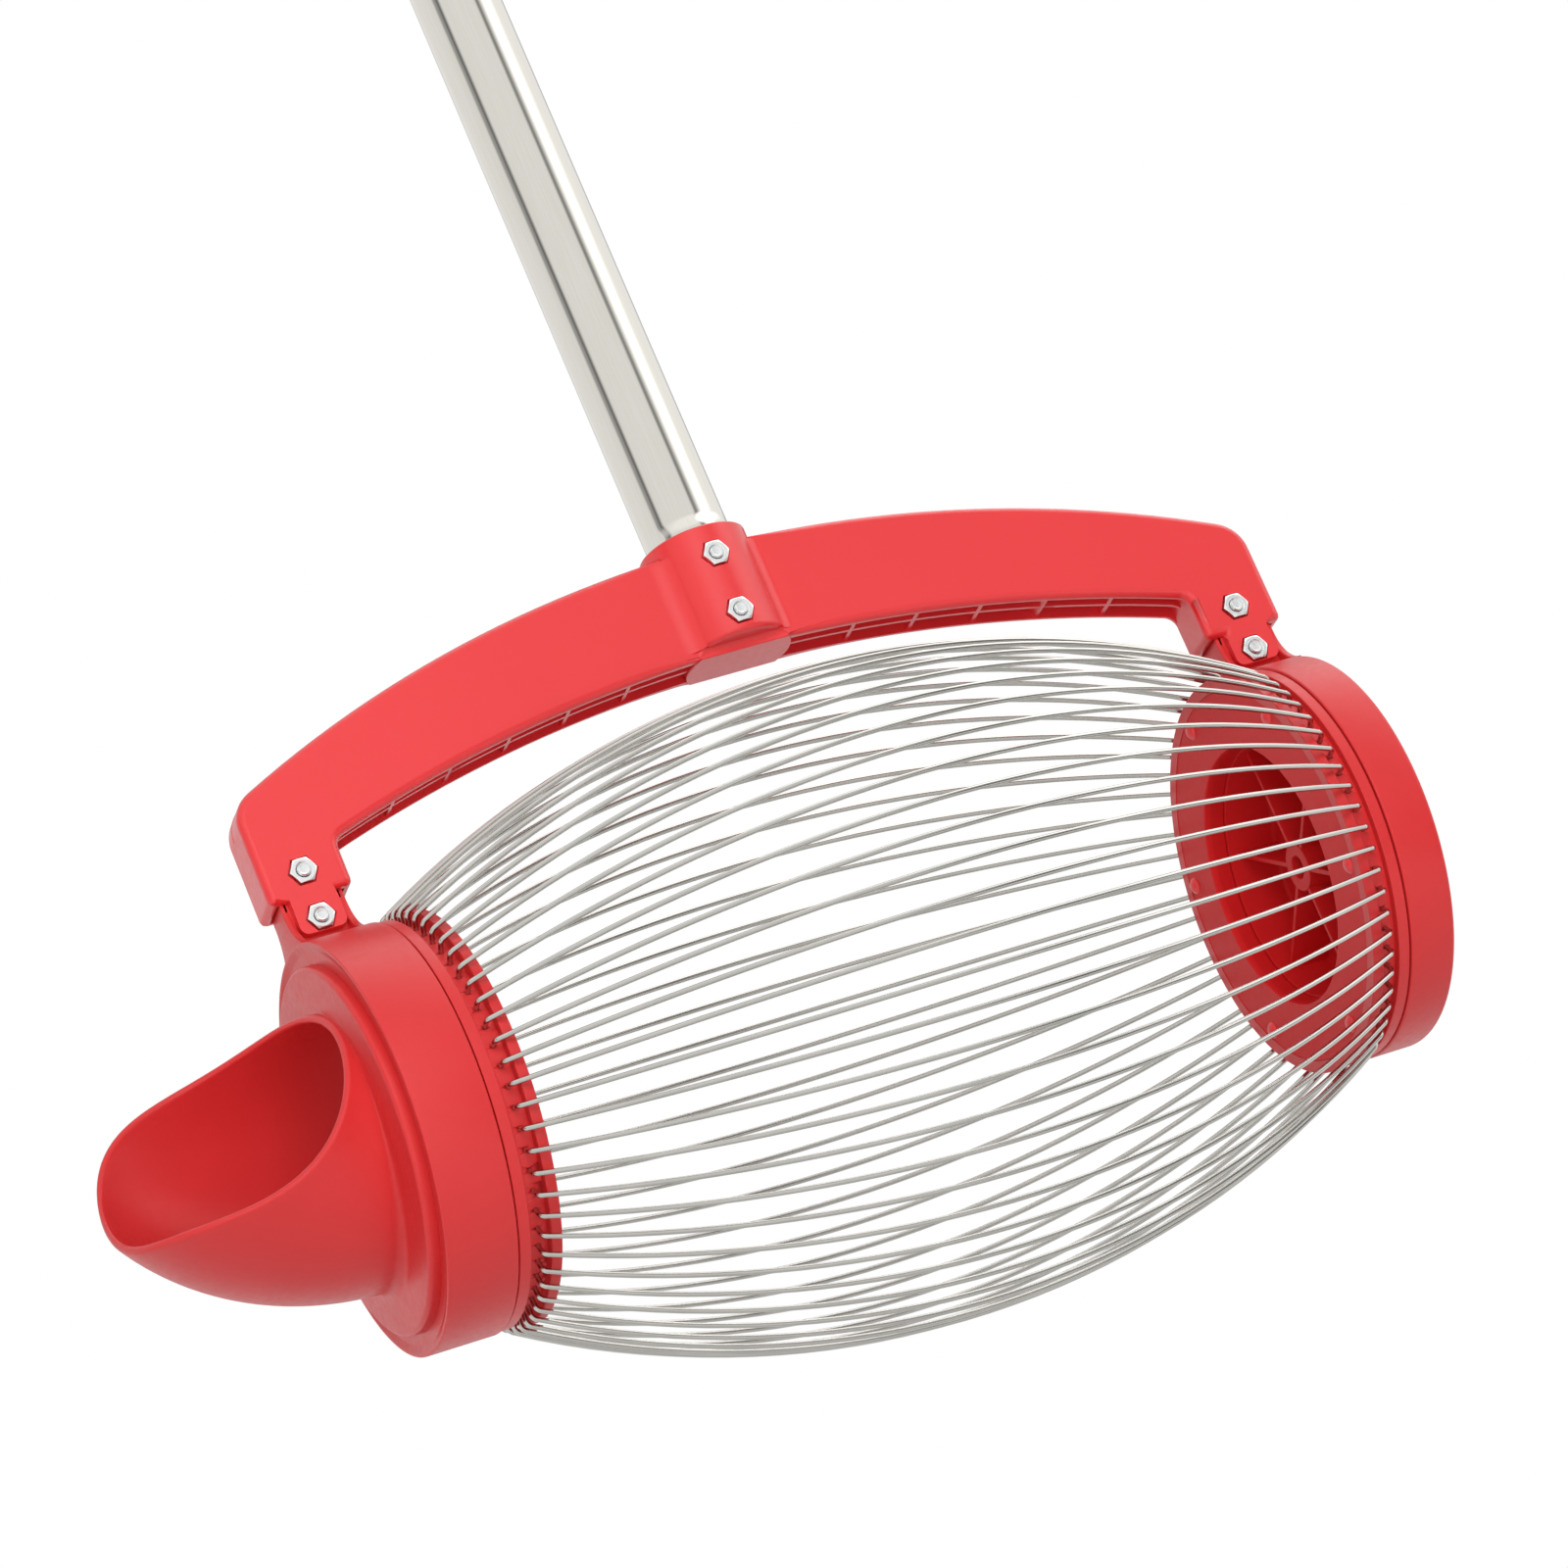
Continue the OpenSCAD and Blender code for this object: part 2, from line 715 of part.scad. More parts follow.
module yoke() {
    color(red) difference() {
        union() {
            difference() {
                plate(yoke_t) yoke_outline();
                plate(2 * inner_half) hollow_outline();
            }
            yoke_ribs();
            tongues();
            translate([0, 0, boss_z]) cylinder(r = boss_r, h = boss_top_z - boss_z);
        }
        translate([0, 0, tube_z]) cylinder(r = socket_r, h = boss_top_z);
        bolt_places() {
            cross_rod(0, 0, hole_r, -yoke_t, yoke_t);
            cross_rod(0, 0, pocket_r, -yoke_t, pocket_h - yoke_t / 2, 6);
        }
        socket_bolt_places() {
            cross_rod(0, 0, hole_r, -yoke_t, yoke_t);
            cross_rod(0, 0, pocket_r, -2 * boss_r, pocket_h - boss_r, 6);
            cross_rod(0, 0, pocket_r, boss_r - pocket_h, 2 * boss_r, 6);
        }
    }
}

// Fasteners: bolts run from the rear to the front, with the nuts in the front pockets
module bolt(seat_y, nut_y) {
    cross_rod(0, 0, bolt_r, nut_y - nut_h - bolt_end, seat_y);
    cross_rod(0, 0, hex_r, seat_y, seat_y + head_h, 6);
}

module nut(nut_y) {
    difference() {
        cross_rod(0, 0, hex_r, nut_y - nut_h, nut_y, 6);
        cross_rod(0, 0, bolt_r + fit / 2, nut_y - nut_h - overrun, nut_y + overrun);
    }
}

module leg_bolts() {
    color(zinc) bolt_places() bolt(yoke_t / 2, pocket_h - yoke_t / 2);
}

module leg_nuts() {
    color(zinc) bolt_places() nut(pocket_h - yoke_t / 2);
}

module socket_bolts() {
    color(zinc) socket_bolt_places() bolt(boss_r - pocket_h, pocket_h - boss_r);
}

module socket_nuts() {
    color(zinc) socket_bolt_places() nut(pocket_h - boss_r);
}

// Handle
module pipe(outer, inner, from, to) {
    translate([0, 0, from]) difference() {
        cylinder(r = outer, h = to - from);
        translate([0, 0, -overrun]) cylinder(r = inner, h = to - from + 2 * overrun);
    }
}

module joiner_pin_places() {
    for (side = [-1, 1])
        translate([0, 0, joint_z + side * joiner_l / 4]) children();
}

module joiner_pin_hole() {
    cross_rod(0, 0, joiner_pin_d / 2 + fit / 2, -tube_d, tube_d);
}

module lower_tube() {
    color(polished) difference() {
        pipe(tube_r, tube_in_r, tube_z, joint_z);
        socket_bolt_places() cross_rod(0, 0, hole_r, -tube_d, tube_d);
        joiner_pin_places() joiner_pin_hole();
    }
}

module upper_tube() {
    color(polished) difference() {
        pipe(tube_r, tube_in_r, joint_z, tube_top_z);
        joiner_pin_places() joiner_pin_hole();
    }
}

module tube_joiner() {
    color(polished) difference() {
        pipe(joiner_r, joiner_r - joiner_wall, joint_z - joiner_l / 2, joint_z + joiner_l / 2);
        joiner_pin_places() joiner_pin_hole();
    }
}

module joiner_pins() {
    color(zinc) joiner_pin_places() intersection() {
        cross_rod(0, 0, joiner_pin_d / 2, -tube_r, tube_r);
        translate([0, 0, -tube_d / 2]) cylinder(r = tube_r, h = tube_d);
    }
}

module hand_grip() {
    inner = tube_r + fit;
    bottom = tube_top_z - grip_l;
    color(black) rotate_extrude() difference() {
        translate([inner, bottom]) square([grip_r - inner, grip_l]);
        for (end = [0, 1]) {
            edge_z = bottom + grip_edge_r + end * (grip_l - 2 * grip_edge_r);
            difference() {
                translate([grip_r - grip_edge_r, edge_z - grip_edge_r])
                    square([grip_edge_r + overrun, 2 * grip_edge_r]);
                translate([grip_r - grip_edge_r, edge_z]) circle(r = grip_edge_r);
                translate([grip_r - grip_edge_r, end == 0 ? edge_z : edge_z - grip_edge_r])
                    square([grip_edge_r + overrun, grip_edge_r]);
            }
        }
    }
}

module handle_plug() {
    color(black) rotate_extrude() {
        translate([0, tube_top_z - plug_depth]) square([joiner_r, plug_depth + plug_head_h / 2]);
        difference() {
            translate([0, tube_top_z]) square([grip_r - grip_edge_r, plug_head_h]);
            difference() {
                translate([grip_r - grip_edge_r - plug_edge_r, tube_top_z + plug_head_h - plug_edge_r])
                    square(plug_edge_r + overrun);
                translate([grip_r - grip_edge_r - plug_edge_r, tube_top_z + plug_head_h - plug_edge_r])
                    circle(r = plug_edge_r);
            }
        }
    }
}

from_grip() yoke();
from_grip() left_end_cap();
from_grip() spout();
from_grip() right_end_cap();
from_grip() left_bearing_sleeve();
from_grip() right_bearing_dish();
from_grip() mirror([1, 0, 0]) ring();  // left_ring
from_grip() ring();  // right_ring
from_grip() mirror([1, 0, 0]) web();  // left_web
from_grip() web();  // right_web
from_grip() mirror([1, 0, 0]) web_rivets();  // left_web_rivets
from_grip() web_rivets();  // right_web_rivets
for (bank = [1:bank_count])
    from_grip() wire_bank(bank);
from_grip() leg_bolts();
from_grip() leg_nuts();
from_grip() socket_bolts();
from_grip() socket_nuts();
from_grip() lower_tube();
from_grip() tube_joiner();
from_grip() joiner_pins();
from_grip() upper_tube();
from_grip() hand_grip();
from_grip() handle_plug();
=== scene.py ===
"""Looks of the rolling nut gatherer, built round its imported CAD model."""

import json
from math import atan2, cos, hypot, pi, radians, sin, sqrt, tan

import bmesh
import bpy
from mathutils import Matrix, Vector


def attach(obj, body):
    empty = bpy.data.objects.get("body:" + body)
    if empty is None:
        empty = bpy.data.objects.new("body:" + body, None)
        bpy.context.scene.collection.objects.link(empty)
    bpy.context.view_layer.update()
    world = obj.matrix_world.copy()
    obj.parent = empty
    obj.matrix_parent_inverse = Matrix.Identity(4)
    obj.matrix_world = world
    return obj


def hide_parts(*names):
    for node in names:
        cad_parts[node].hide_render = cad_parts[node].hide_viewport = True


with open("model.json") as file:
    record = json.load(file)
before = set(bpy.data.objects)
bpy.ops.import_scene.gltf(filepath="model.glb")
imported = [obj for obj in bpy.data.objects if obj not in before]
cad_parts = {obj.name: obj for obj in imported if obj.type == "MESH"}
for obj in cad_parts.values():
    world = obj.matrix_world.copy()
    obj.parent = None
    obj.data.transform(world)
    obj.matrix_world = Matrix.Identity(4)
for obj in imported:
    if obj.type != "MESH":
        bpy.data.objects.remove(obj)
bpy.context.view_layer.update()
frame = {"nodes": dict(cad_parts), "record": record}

# The script works in millimetres over the drum's axis; the row frame is in metres
MM = 0.001
DRUM_Z = -0.8645  # the drum's axis under the origin, which is the middle of the hand grip
LEFT, RIGHT = -1, 1  # ends of the drum along X
FRONT, REAR = -1, 1  # faces of the yoke along Y

RED, ZINC, POLISHED, WIRE = "red_plastic", "zinc_steel", "polished_steel", "wire_steel"
RUBBER, BLACK = "grip_rubber", "black_plastic"
# Deeper shades of the yoke's red plastic; the bearings' and the webs' also shine less, and the bearings'
# darker red is painted shade for the dim inside of the drum
DRUM_RED, BEARING_SHADED_RED, WEB_RED = "drum_red", "bearing_shaded_red", "web_red"
RED_SHADES = (DRUM_RED, BEARING_SHADED_RED, WEB_RED)


# Materials

NOISE_LOW, NOISE_HIGH = 0.3, 0.7  # most of a noise texture lies between these
STREAK = 0.25, 0.75  # the same for the colour of drawn metal


class Nodes:
    """Short calls for building one node material."""

    def __init__(self, name):
        self.material = bpy.data.materials.new(name)
        self.material.use_nodes = True
        self.tree = self.material.node_tree
        self.bsdf = self.tree.nodes["Principled BSDF"]
        self.coords = self.new("ShaderNodeTexCoord").outputs["Object"]

    def new(self, kind, values=None, **settings):
        """A node with values for its inputs and settings of its own."""
        node = self.tree.nodes.new(kind)
        for key, value in settings.items():
            setattr(node, key, value)
        for key, value in (values or {}).items():
            node.inputs[key].default_value = value
        return node

    def link(self, a, b):
        self.tree.links.new(a, b)

    def stretched(self, scale):
        mapping = self.new("ShaderNodeMapping", {"Scale": scale})
        self.link(self.coords, mapping.inputs["Vector"])
        return mapping.outputs["Vector"]

    def noise(self, scale, detail=3.0, rough=0.55, vector=None):
        node = self.new("ShaderNodeTexNoise", {"Scale": scale, "Detail": detail, "Roughness": rough})
        self.link(vector or self.coords, node.inputs["Vector"])
        return node.outputs["Fac"]

    def voronoi(self, scale):
        node = self.new("ShaderNodeTexVoronoi", {"Scale": scale})
        self.link(self.coords, node.inputs["Vector"])
        return node.outputs["Distance"]

    def shades(self, factor, low, high, start=NOISE_LOW, end=NOISE_HIGH):
        """A colour from low to high, as the factor goes from start to end."""
        node = self.new("ShaderNodeValToRGB")
        for element, place, colour in zip(node.color_ramp.elements, (start, end), (low, high)):
            element.position = place
            element.color = (*colour, 1.0)
        self.link(factor, node.inputs["Fac"])
        return node.outputs["Color"]

    def span(self, factor, low, high, start=NOISE_LOW, end=NOISE_HIGH):
        """A number from low to high, as the factor goes from start to end."""
        ends = {"From Min": start, "From Max": end, "To Min": low, "To Max": high}
        node = self.new("ShaderNodeMapRange", ends)
        self.link(factor, node.inputs["Value"])
        return node.outputs["Result"]

    def bump(self, *layers):
        """Layers of bump, each as (height, distance in metres, strength)."""
        normal = None
        for height, distance, strength in layers:
            node = self.new("ShaderNodeBump", {"Distance": distance, "Strength": strength})
            self.link(height, node.inputs["Height"])
            if normal:
                self.link(normal, node.inputs["Normal"])
            normal = node.outputs["Normal"]
        self.link(normal, self.bsdf.inputs["Normal"])

    def put(self, socket, value):
        if hasattr(value, "is_linked"):
            self.link(value, self.bsdf.inputs[socket])
        else:
            self.bsdf.inputs[socket].default_value = value


def moulded_red(name, low, high, gloss=0.0, shine=0.5):
    """Grained plastic; gloss is its clear coat's weight, shine the plastic's own."""
    m = Nodes(name)
    m.put("Base Color", m.shades(m.noise(9.0, 4.0), low, high))
    m.put("Roughness", m.span(m.noise(420.0), 0.33, 0.43))
    m.put("IOR", 1.55)
    m.put("Specular IOR Level", shine)
    m.put("Coat Weight", gloss)
    m.put("Coat Roughness", 0.2)
    m.bump((m.noise(2600.0, 2.0), 0.00003, 0.35), (m.noise(160.0), 0.0001, 0.08))
    return m.material


def polished_tube():
    m = Nodes("polished_stainless_tube")
    drawn = m.noise(60.0, 4.0, 0.6, m.stretched((40.0, 40.0, 0.6)))
    m.put("Base Color", m.shades(drawn, (0.66, 0.635, 0.58), (0.72, 0.70, 0.65), *STREAK))
    m.put("Metallic", 1.0)
    m.put("Roughness", m.span(drawn, 0.07, 0.11))
    m.bump((drawn, 0.00002, 0.05))
    return m.material


def drawn_wire():
    m = Nodes("drawn_steel_wire")
    streak = m.noise(24.0, 3.0, 0.5, m.stretched((0.6, 6.0, 6.0)))
    m.put("Base Color", m.shades(streak, (0.50, 0.488, 0.456), (0.57, 0.557, 0.521), *STREAK))
    m.put("Metallic", 1.0)
    m.put("Roughness", m.span(streak, 0.13, 0.19))
    m.bump((streak, 0.00002, 0.06))
    return m.material


def zinc_plate():
    m = Nodes("zinc_plated_steel")
    grain = m.noise(900.0, 4.0)
    m.put("Base Color", m.shades(grain, (0.88, 0.90, 0.895), (0.94, 0.955, 0.95)))
    m.put("Metallic", 1.0)
    m.put("Roughness", m.span(m.noise(1500.0), 0.22, 0.38))
    m.bump((grain, 0.00003, 0.25))
    return m.material


def grip_rubber():
    m = Nodes("grip_rubber")
    m.put("Base Color", m.shades(m.noise(80.0, 4.0), (0.016, 0.016, 0.017), (0.026, 0.026, 0.028)))
    m.put("Roughness", m.span(m.noise(600.0), 0.55, 0.75))
    m.bump((m.voronoi(1400.0), 0.00008, 0.5))
    return m.material


def black_plastic():
    m = Nodes("black_moulded_plastic")
    m.put("Base Color", m.shades(m.noise(60.0, 4.0), (0.020, 0.020, 0.021), (0.030, 0.030, 0.032)))
    m.put("Roughness", m.span(m.noise(500.0), 0.40, 0.52))
    m.bump((m.noise(2200.0, 2.0), 0.00003, 0.4))
    return m.material


MATERIALS = {
    RED: moulded_red("red_moulded_plastic", (0.80, 0.027, 0.0315), (0.845, 0.0325, 0.038), gloss=0.4),
    DRUM_RED: moulded_red("red_drum_plastic", (0.690, 0.028, 0.030), (0.728, 0.034, 0.036), shine=0.40),
    # The bearings' red is darker than the drum's: painted shade for the dim inside of the drum
    BEARING_SHADED_RED: moulded_red("red_bearing_plastic_painted_shade", (0.67, 0.015, 0.017), (0.71, 0.019, 0.021), shine=0.14),
    WEB_RED: moulded_red("red_web_plastic", (0.735, 0.022, 0.024), (0.775, 0.027, 0.029), shine=0.10),
    POLISHED: polished_tube(),
    WIRE: drawn_wire(),
    ZINC: zinc_plate(),
    RUBBER: grip_rubber(),
    BLACK: black_plastic(),
}


def paint(obj, look):
    obj.data.materials.clear()
    obj.data.materials.append(MATERIALS[look])


# Pieces

SHARP, SHARP_HEX = 38, 25  # degrees; edges beyond these angles aren't shaded smooth
MERGE = 1e-7  # points closer than this, in metres, become one
WELD, FLAT = 2e-6, radians(0.6)  # the same for CAD meshes; their faces join under this angle
EDGE_ANGLE = radians(32)  # edges beyond this angle may be rounded
EDGE_ROWS = 3  # rows of faces on such an edge
DRUM_SECTORS = 168
NEAR, NEAR_R = 0.01, 0.05  # levels and radii closer than these are the same


def to_mesh(bm, name, sharp):
    bmesh.ops.recalc_face_normals(bm, faces=bm.faces)
    mesh = bpy.data.meshes.new(name)
    bm.to_mesh(mesh)
    bm.free()
    for polygon in mesh.polygons:
        polygon.use_smooth = True
    mesh.set_sharp_from_angle(angle=radians(sharp))
    return mesh


def new_object(name, data):
    obj = bpy.data.objects.new(name, data)
    bpy.context.scene.collection.objects.link(obj)
    return obj


def piece(name, bm, look, body, *nodes, sharp=SHARP):
    """A new object in the row frame that rides on a body and stands for CAD nodes."""
    obj = new_object(name, to_mesh(bm, name, sharp))
    paint(obj, look)
    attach(obj, body)
    RED if look in RED_SHADES else look
    if nodes:
        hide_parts(*nodes)
    return obj


def at_drum(x, y, z):
    """A point of the row frame from millimetres over the drum axis."""
    return (x * MM, y * MM, z * MM + DRUM_Z)


def over_drum(point):
    """Millimetres over the drum axis from a point of the row frame."""
    return Vector((point.x / MM, point.y / MM, (point.z - DRUM_Z) / MM))


def merge(bm, closer=MERGE):
    bmesh.ops.remove_doubles(bm, verts=bm.verts, dist=closer)


def welded_copy(node):
    """A copy of a CAD node's mesh, with flat faces joined."""
    bm = bmesh.new()
    bm.from_mesh(frame["nodes"][node].data)
    merge(bm, WELD)
    bmesh.ops.dissolve_limit(
        bm, angle_limit=FLAT, use_dissolve_boundaries=False, verts=bm.verts, edges=bm.edges, delimit=set())
    return bm


def is_sharp(edge):
    return len(edge.link_faces) == 2 and edge.calc_face_angle(0) > EDGE_ANGLE


def edge_ends(edge):
    return [over_drum(v.co) for v in edge.verts]


def rounded(corners, steps=5):
    """A closed outline from corners of (a, b, radius of the rounding)."""
    result = []
    spots = [Vector(corner[:2]) for corner in corners]
    count = len(spots)
    for i, (_, _, radius) in enumerate(corners):
        here = spots[i]
        to_last = (spots[i - 1] - here).normalized()
        to_next = (spots[(i + 1) % count] - here).normalized()
        angle = to_last.angle(to_next)
        if radius <= 0 or angle > pi - 1e-3:
            result.append(tuple(here))
            continue
        reach = radius / tan(angle / 2)
        middle = here + (to_last + to_next).normalized() * (radius / sin(angle / 2))
        a = (here + to_last * reach) - middle
        b = (here + to_next * reach) - middle
        turn = a.angle(b)
        for k in range(steps + 1):
            t = k / steps
            point = (a * sin((1 - t) * turn) + b * sin(t * turn)) / sin(turn)
            result.append(tuple(middle + point))
    return result


def ring(radius, count):
    """Points evenly round a circle."""
    turns = [2 * pi * k / count for k in range(count)]
    return [(radius * cos(a), radius * sin(a)) for a in turns]


def arc(radius, start, sweep, steps):
    """Points of an arc, from a start over a sweep in degrees."""
    turns = [radians(start + sweep * k / steps) for k in range(steps + 1)]
    return [(radius * cos(a), radius * sin(a)) for a in turns]


def skin(bm, rows, closed=True):
    """Quads between successive rings of points; closed joins the last ring to the first."""
    made = [[bm.verts.new(p) for p in row] for row in rows]
    last = len(made) if closed else len(made) - 1
    for i in range(last):
        a, b = made[i], made[(i + 1) % len(made)]
        for k in range(len(a)):
            n = (k + 1) % len(a)
            bm.faces.new((a[k], a[n], b[n], b[k]))
    return made


def capped_skin(bm, rows):
    """An open skin with a face at each end."""
    made = skin(bm, rows, closed=False)
    bm.faces.new(made[0])
    bm.faces.new(made[-1])


def turned(bm, outline, place, sectors, closed=True):
    """Turns an outline of (radius, level) round an axis; place(a, b, level) gives the point."""
    skin(bm, [[place(a, b, level) for a, b in ring(radius, sectors)] for radius, level in outline], closed)
    merge(bm)


def lathe(bm, outline, side):
    """Turns a closed outline of (radius, place along the drum axis) round the drum axis."""
    turned(bm, outline, lambda y, z, x: at_drum(side * x, y, z), DRUM_SECTORS)


def slab(bm, outline, low, high, place, edge):
    """A plate with rounded rims between two levels; place(a, b, level) gives the point."""
    steps = 4
    longest = 2.0  # the mitre's limit at a sharp corner, over the inset of its sides
    corners = [Vector(p) for p in outline]
    count = len(corners)
    outward = []
    for i in range(count):
        a = (corners[i] - corners[i - 1]).normalized()
        b = (corners[(i + 1) % count] - corners[i]).normalized()
        out = Vector((a.y + b.y, -a.x - b.x))
        out = out.normalized() if out.length > 1e-9 else Vector((a.y, -a.x))
        scale = 1 / max(1 / longest, out.dot(Vector((a.y, -a.x))))
        outward.append(out * scale)
    levels = []
    for k in range(steps + 1):
        a = pi / 2 * k / steps
        levels.append((low + edge * (1 - cos(a)), edge * (1 - sin(a))))
    levels += [(high - (level - low), inset) for level, inset in reversed(levels)]
    capped_skin(bm, [
        [place(*(corners[i] - outward[i] * inset), level) for i in range(count)]
        for level, inset in levels
    ])


# End caps with their lugs

CAP_R, CAP_WALL, CAP_X = 74.2, 3.0, 173.9
CAP_IN_R = CAP_R - CAP_WALL
CAP_ROWS = 6
# The left cap's rim, the groove inside it and the seat of the spout's disc
LEFT_FACE, LEFT_INSIDE, DISC_SEAT = 200.0, 197.0, 198.9
RIM_R, GROOVE_R, DISC_SEAT_R, SPOUT_HOLE_R = 73.0, 70.4, 66.2, 50.0
RIGHT_FACE, RIGHT_INSIDE = 191.9, 188.9
SPIGOT_R, SPIGOT_IN_R, SPIGOT_L, SPIGOT_SINK = 59.6, 57.1, 8.0, 0.5
LUG_END, LUG_HALF, LUG_TOP = 197.5, 7.4, 111.1
GUSSET_T, GUSSET_ROUND, GUSSET_SINK = 2.7, 0.6, 1.6
BLOCK_ROUND, BLOCK_INSET, BLOCK_SINK, BLOCK_DROP = 0.4, 1.0, 2.0, 0.5
FLARE_Z = CAP_R + 14.0
FLARE_R = (LUG_HALF ** 2 + FLARE_Z ** 2 - CAP_R ** 2) / (2 * (CAP_R - LUG_HALF))
FLARE_STEPS, FOOT_STEPS = 14, 12
SHELF_ANGLE, SHELF_STEPS = 8.1, 12


def gusset_outline():
    """Half flare to each side, tangent to the lug above and to the cap below."""
    centre_y = LUG_HALF + FLARE_R
    foot = CAP_R / (CAP_R + FLARE_R)
    sweep = pi + atan2(FLARE_Z * (foot - 1), centre_y * (foot - 1))
    right = []
    for k in range(FLARE_STEPS + 1):
        a = pi + sweep * k / FLARE_STEPS
        right.append((centre_y + FLARE_R * cos(a), FLARE_Z + FLARE_R * sin(a)))
    lower = []
    rim = atan2(right[-1][1], right[-1][0])
    for k in range(1, FOOT_STEPS):
        a = rim + (pi - 2 * rim) * k / FOOT_STEPS
        lower.append(((CAP_R - GUSSET_SINK) * cos(a), (CAP_R - GUSSET_SINK) * sin(a)))
    left = [(-y, z) for y, z in reversed(right)]
    return [(LUG_HALF, LUG_TOP)] + right + lower + left + [(-LUG_HALF, LUG_TOP)]


def add_lug(bm, side):
    """Two flared gussets and the block between them, which goes up into the yoke's leg."""
    outline = gusset_outline()
    outline.reverse()
    for low, high in ((CAP_X, CAP_X + GUSSET_T), (LUG_END - GUSSET_T, LUG_END)):
        slab(bm, outline, low, high, lambda y, z, x: at_drum(side * x, y, z), GUSSET_ROUND)
    inner, outer = CAP_X + BLOCK_INSET, LUG_END - BLOCK_INSET
    bottom, top = CAP_R - BLOCK_SINK, LUG_TOP - BLOCK_DROP
    block = [(inner, bottom), (outer, bottom), (outer, top), (inner, top)]
    slab(bm, block, -LUG_HALF, LUG_HALF, lambda x, z, y: at_drum(side * x, y, z), BLOCK_ROUND)


def add_spigot(bm, side, inside):
    """The ring in a cap that holds the bearing's journal."""
    start, end = inside - SPIGOT_L, inside + SPIGOT_SINK
    lathe(bm, [(SPIGOT_R, start), (SPIGOT_R, end), (SPIGOT_IN_R, end), (SPIGOT_IN_R, start)], side)


def add_left_cap():
    bm = bmesh.new()
    lathe(bm, rounded([
        (CAP_R, CAP_X, 0.7), (CAP_R, LEFT_FACE, 0.5), (RIM_R, LEFT_FACE, 0.6), (GROOVE_R, DISC_SEAT, 2.0),
        (DISC_SEAT_R, DISC_SEAT, 0), (SPOUT_HOLE_R, DISC_SEAT, 0), (SPOUT_HOLE_R, LEFT_INSIDE, 0),
        (CAP_IN_R, LEFT_INSIDE, 1.0), (CAP_IN_R, CAP_X, 0.7),
    ], CAP_ROWS), LEFT)
    add_spigot(bm, LEFT, LEFT_INSIDE)
    add_lug(bm, LEFT)
    piece("left_cap_moulding", bm, DRUM_RED, "frame", "left_end_cap")


def add_right_cap():
    """A closed cap with a shelf from its rim to the lug's outer gusset."""
    bm = bmesh.new()
    lathe(bm, rounded([
        (CAP_R, CAP_X, 0.7), (CAP_R, RIGHT_FACE, 1.6), (0.0, RIGHT_FACE, 0), (0.0, RIGHT_INSIDE, 0),
        (CAP_IN_R, RIGHT_INSIDE, 1.0), (CAP_IN_R, CAP_X, 0.7),
    ], CAP_ROWS), RIGHT)
    add_spigot(bm, RIGHT, RIGHT_INSIDE)
    add_lug(bm, RIGHT)
    shelf = arc(CAP_R, 90 - SHELF_ANGLE, 2 * SHELF_ANGLE, SHELF_STEPS)
    shelf += arc(CAP_IN_R, 90 + SHELF_ANGLE, -2 * SHELF_ANGLE, SHELF_STEPS)
    slab(bm, shelf, RIGHT_INSIDE, LUG_END, lambda y, z, x: at_drum(x, y, z), GUSSET_ROUND)
    piece("right_cap_moulding", bm, DRUM_RED, "frame", "right_end_cap")


add_left_cap()
add_right_cap()


# The spout: an elbow cut by a curved lip, on a raised disc. Its points are (u, h, s): away from the
# cage's middle, up in the elbow's plane and beside that plane.

SPOUT_TURN = radians(136.8)
BEND_R, SECTION_R, ASPECT, SPOUT_WALL, BEND_X = 63.4, 50.5, 0.90, 2.8, 203.0
# The lip as a cubic curve of (u, h), its slope beyond the end, and a height over all of the elbow
LIP = [Vector(p) for p in ((203.1, 54.4), (230.0, 4.3), (274.0, 25.7), (290.6, -1.9))]
LIP_SLOPE, LIP_OPEN = 27.6 / 16.6, 200.0
NECK_R, NECK_END_R, NECK_END = 49.8, 50.2, 163.0
DISC_R, DISC_FACE, DISC_ROUND = 66.0, 203.5, 1.6
FILLET, LEAST_FILLET, FILLET_SHARE = 4.0, 0.25, 0.7  # between the disc and the elbow
LEAST_RUN = 0.35  # share of a short run along the elbow that its rounded lip leaves
LINER_LEVELS = (201.0, 196.0, 190.0, 180.0, 170.0, NECK_END)
SPOUT_SECTORS, SPOUT_RUN, SPOUT_STEPS = 180, 40, 6
FULL_FILLET = 0.9  # share of its height from which the fillet isn't flattened
# Searches for a point of the lip, for the sweep to the lip (in degrees) and for the start of the outer wall
LIP_HALVINGS, SWEEP_HALVINGS, SWEEP_STEP, SWEEP_STEPS, TINY_SWEEP = 40, 30, 0.5, 178, 1e-4
START_STEP, START_STEPS, LATEST_START = 0.0012, 40, 0.8


def lip_height(u):
    """Height of the lip at a distance u from the cage's middle."""
    if u <= LIP[0].x:
        return LIP_OPEN
    if u >= LIP[3].x:
        return LIP[3].y - (u - LIP[3].x) * LIP_SLOPE
    low, high = 0.0, 1.0
    for _ in range(LIP_HALVINGS):
        t = (low + high) / 2
        s = 1 - t
        p = s ** 3 * LIP[0] + 3 * s ** 2 * t * LIP[1] + 3 * s * t * t * LIP[2] + t ** 3 * LIP[3]
        if p.x < u:
            low = t
        else:
            high = t
    return p.y


def section_point(a, theta, shrink=0.0):
    """Point of the elbow at a sweep angle and an angle round the section."""
    r = SECTION_R - shrink
    half = SECTION_R * ASPECT - shrink
    reach = BEND_R + r * cos(theta)
    return Vector((BEND_X + reach * sin(a), BEND_R - reach * cos(a), half * sin(theta)))


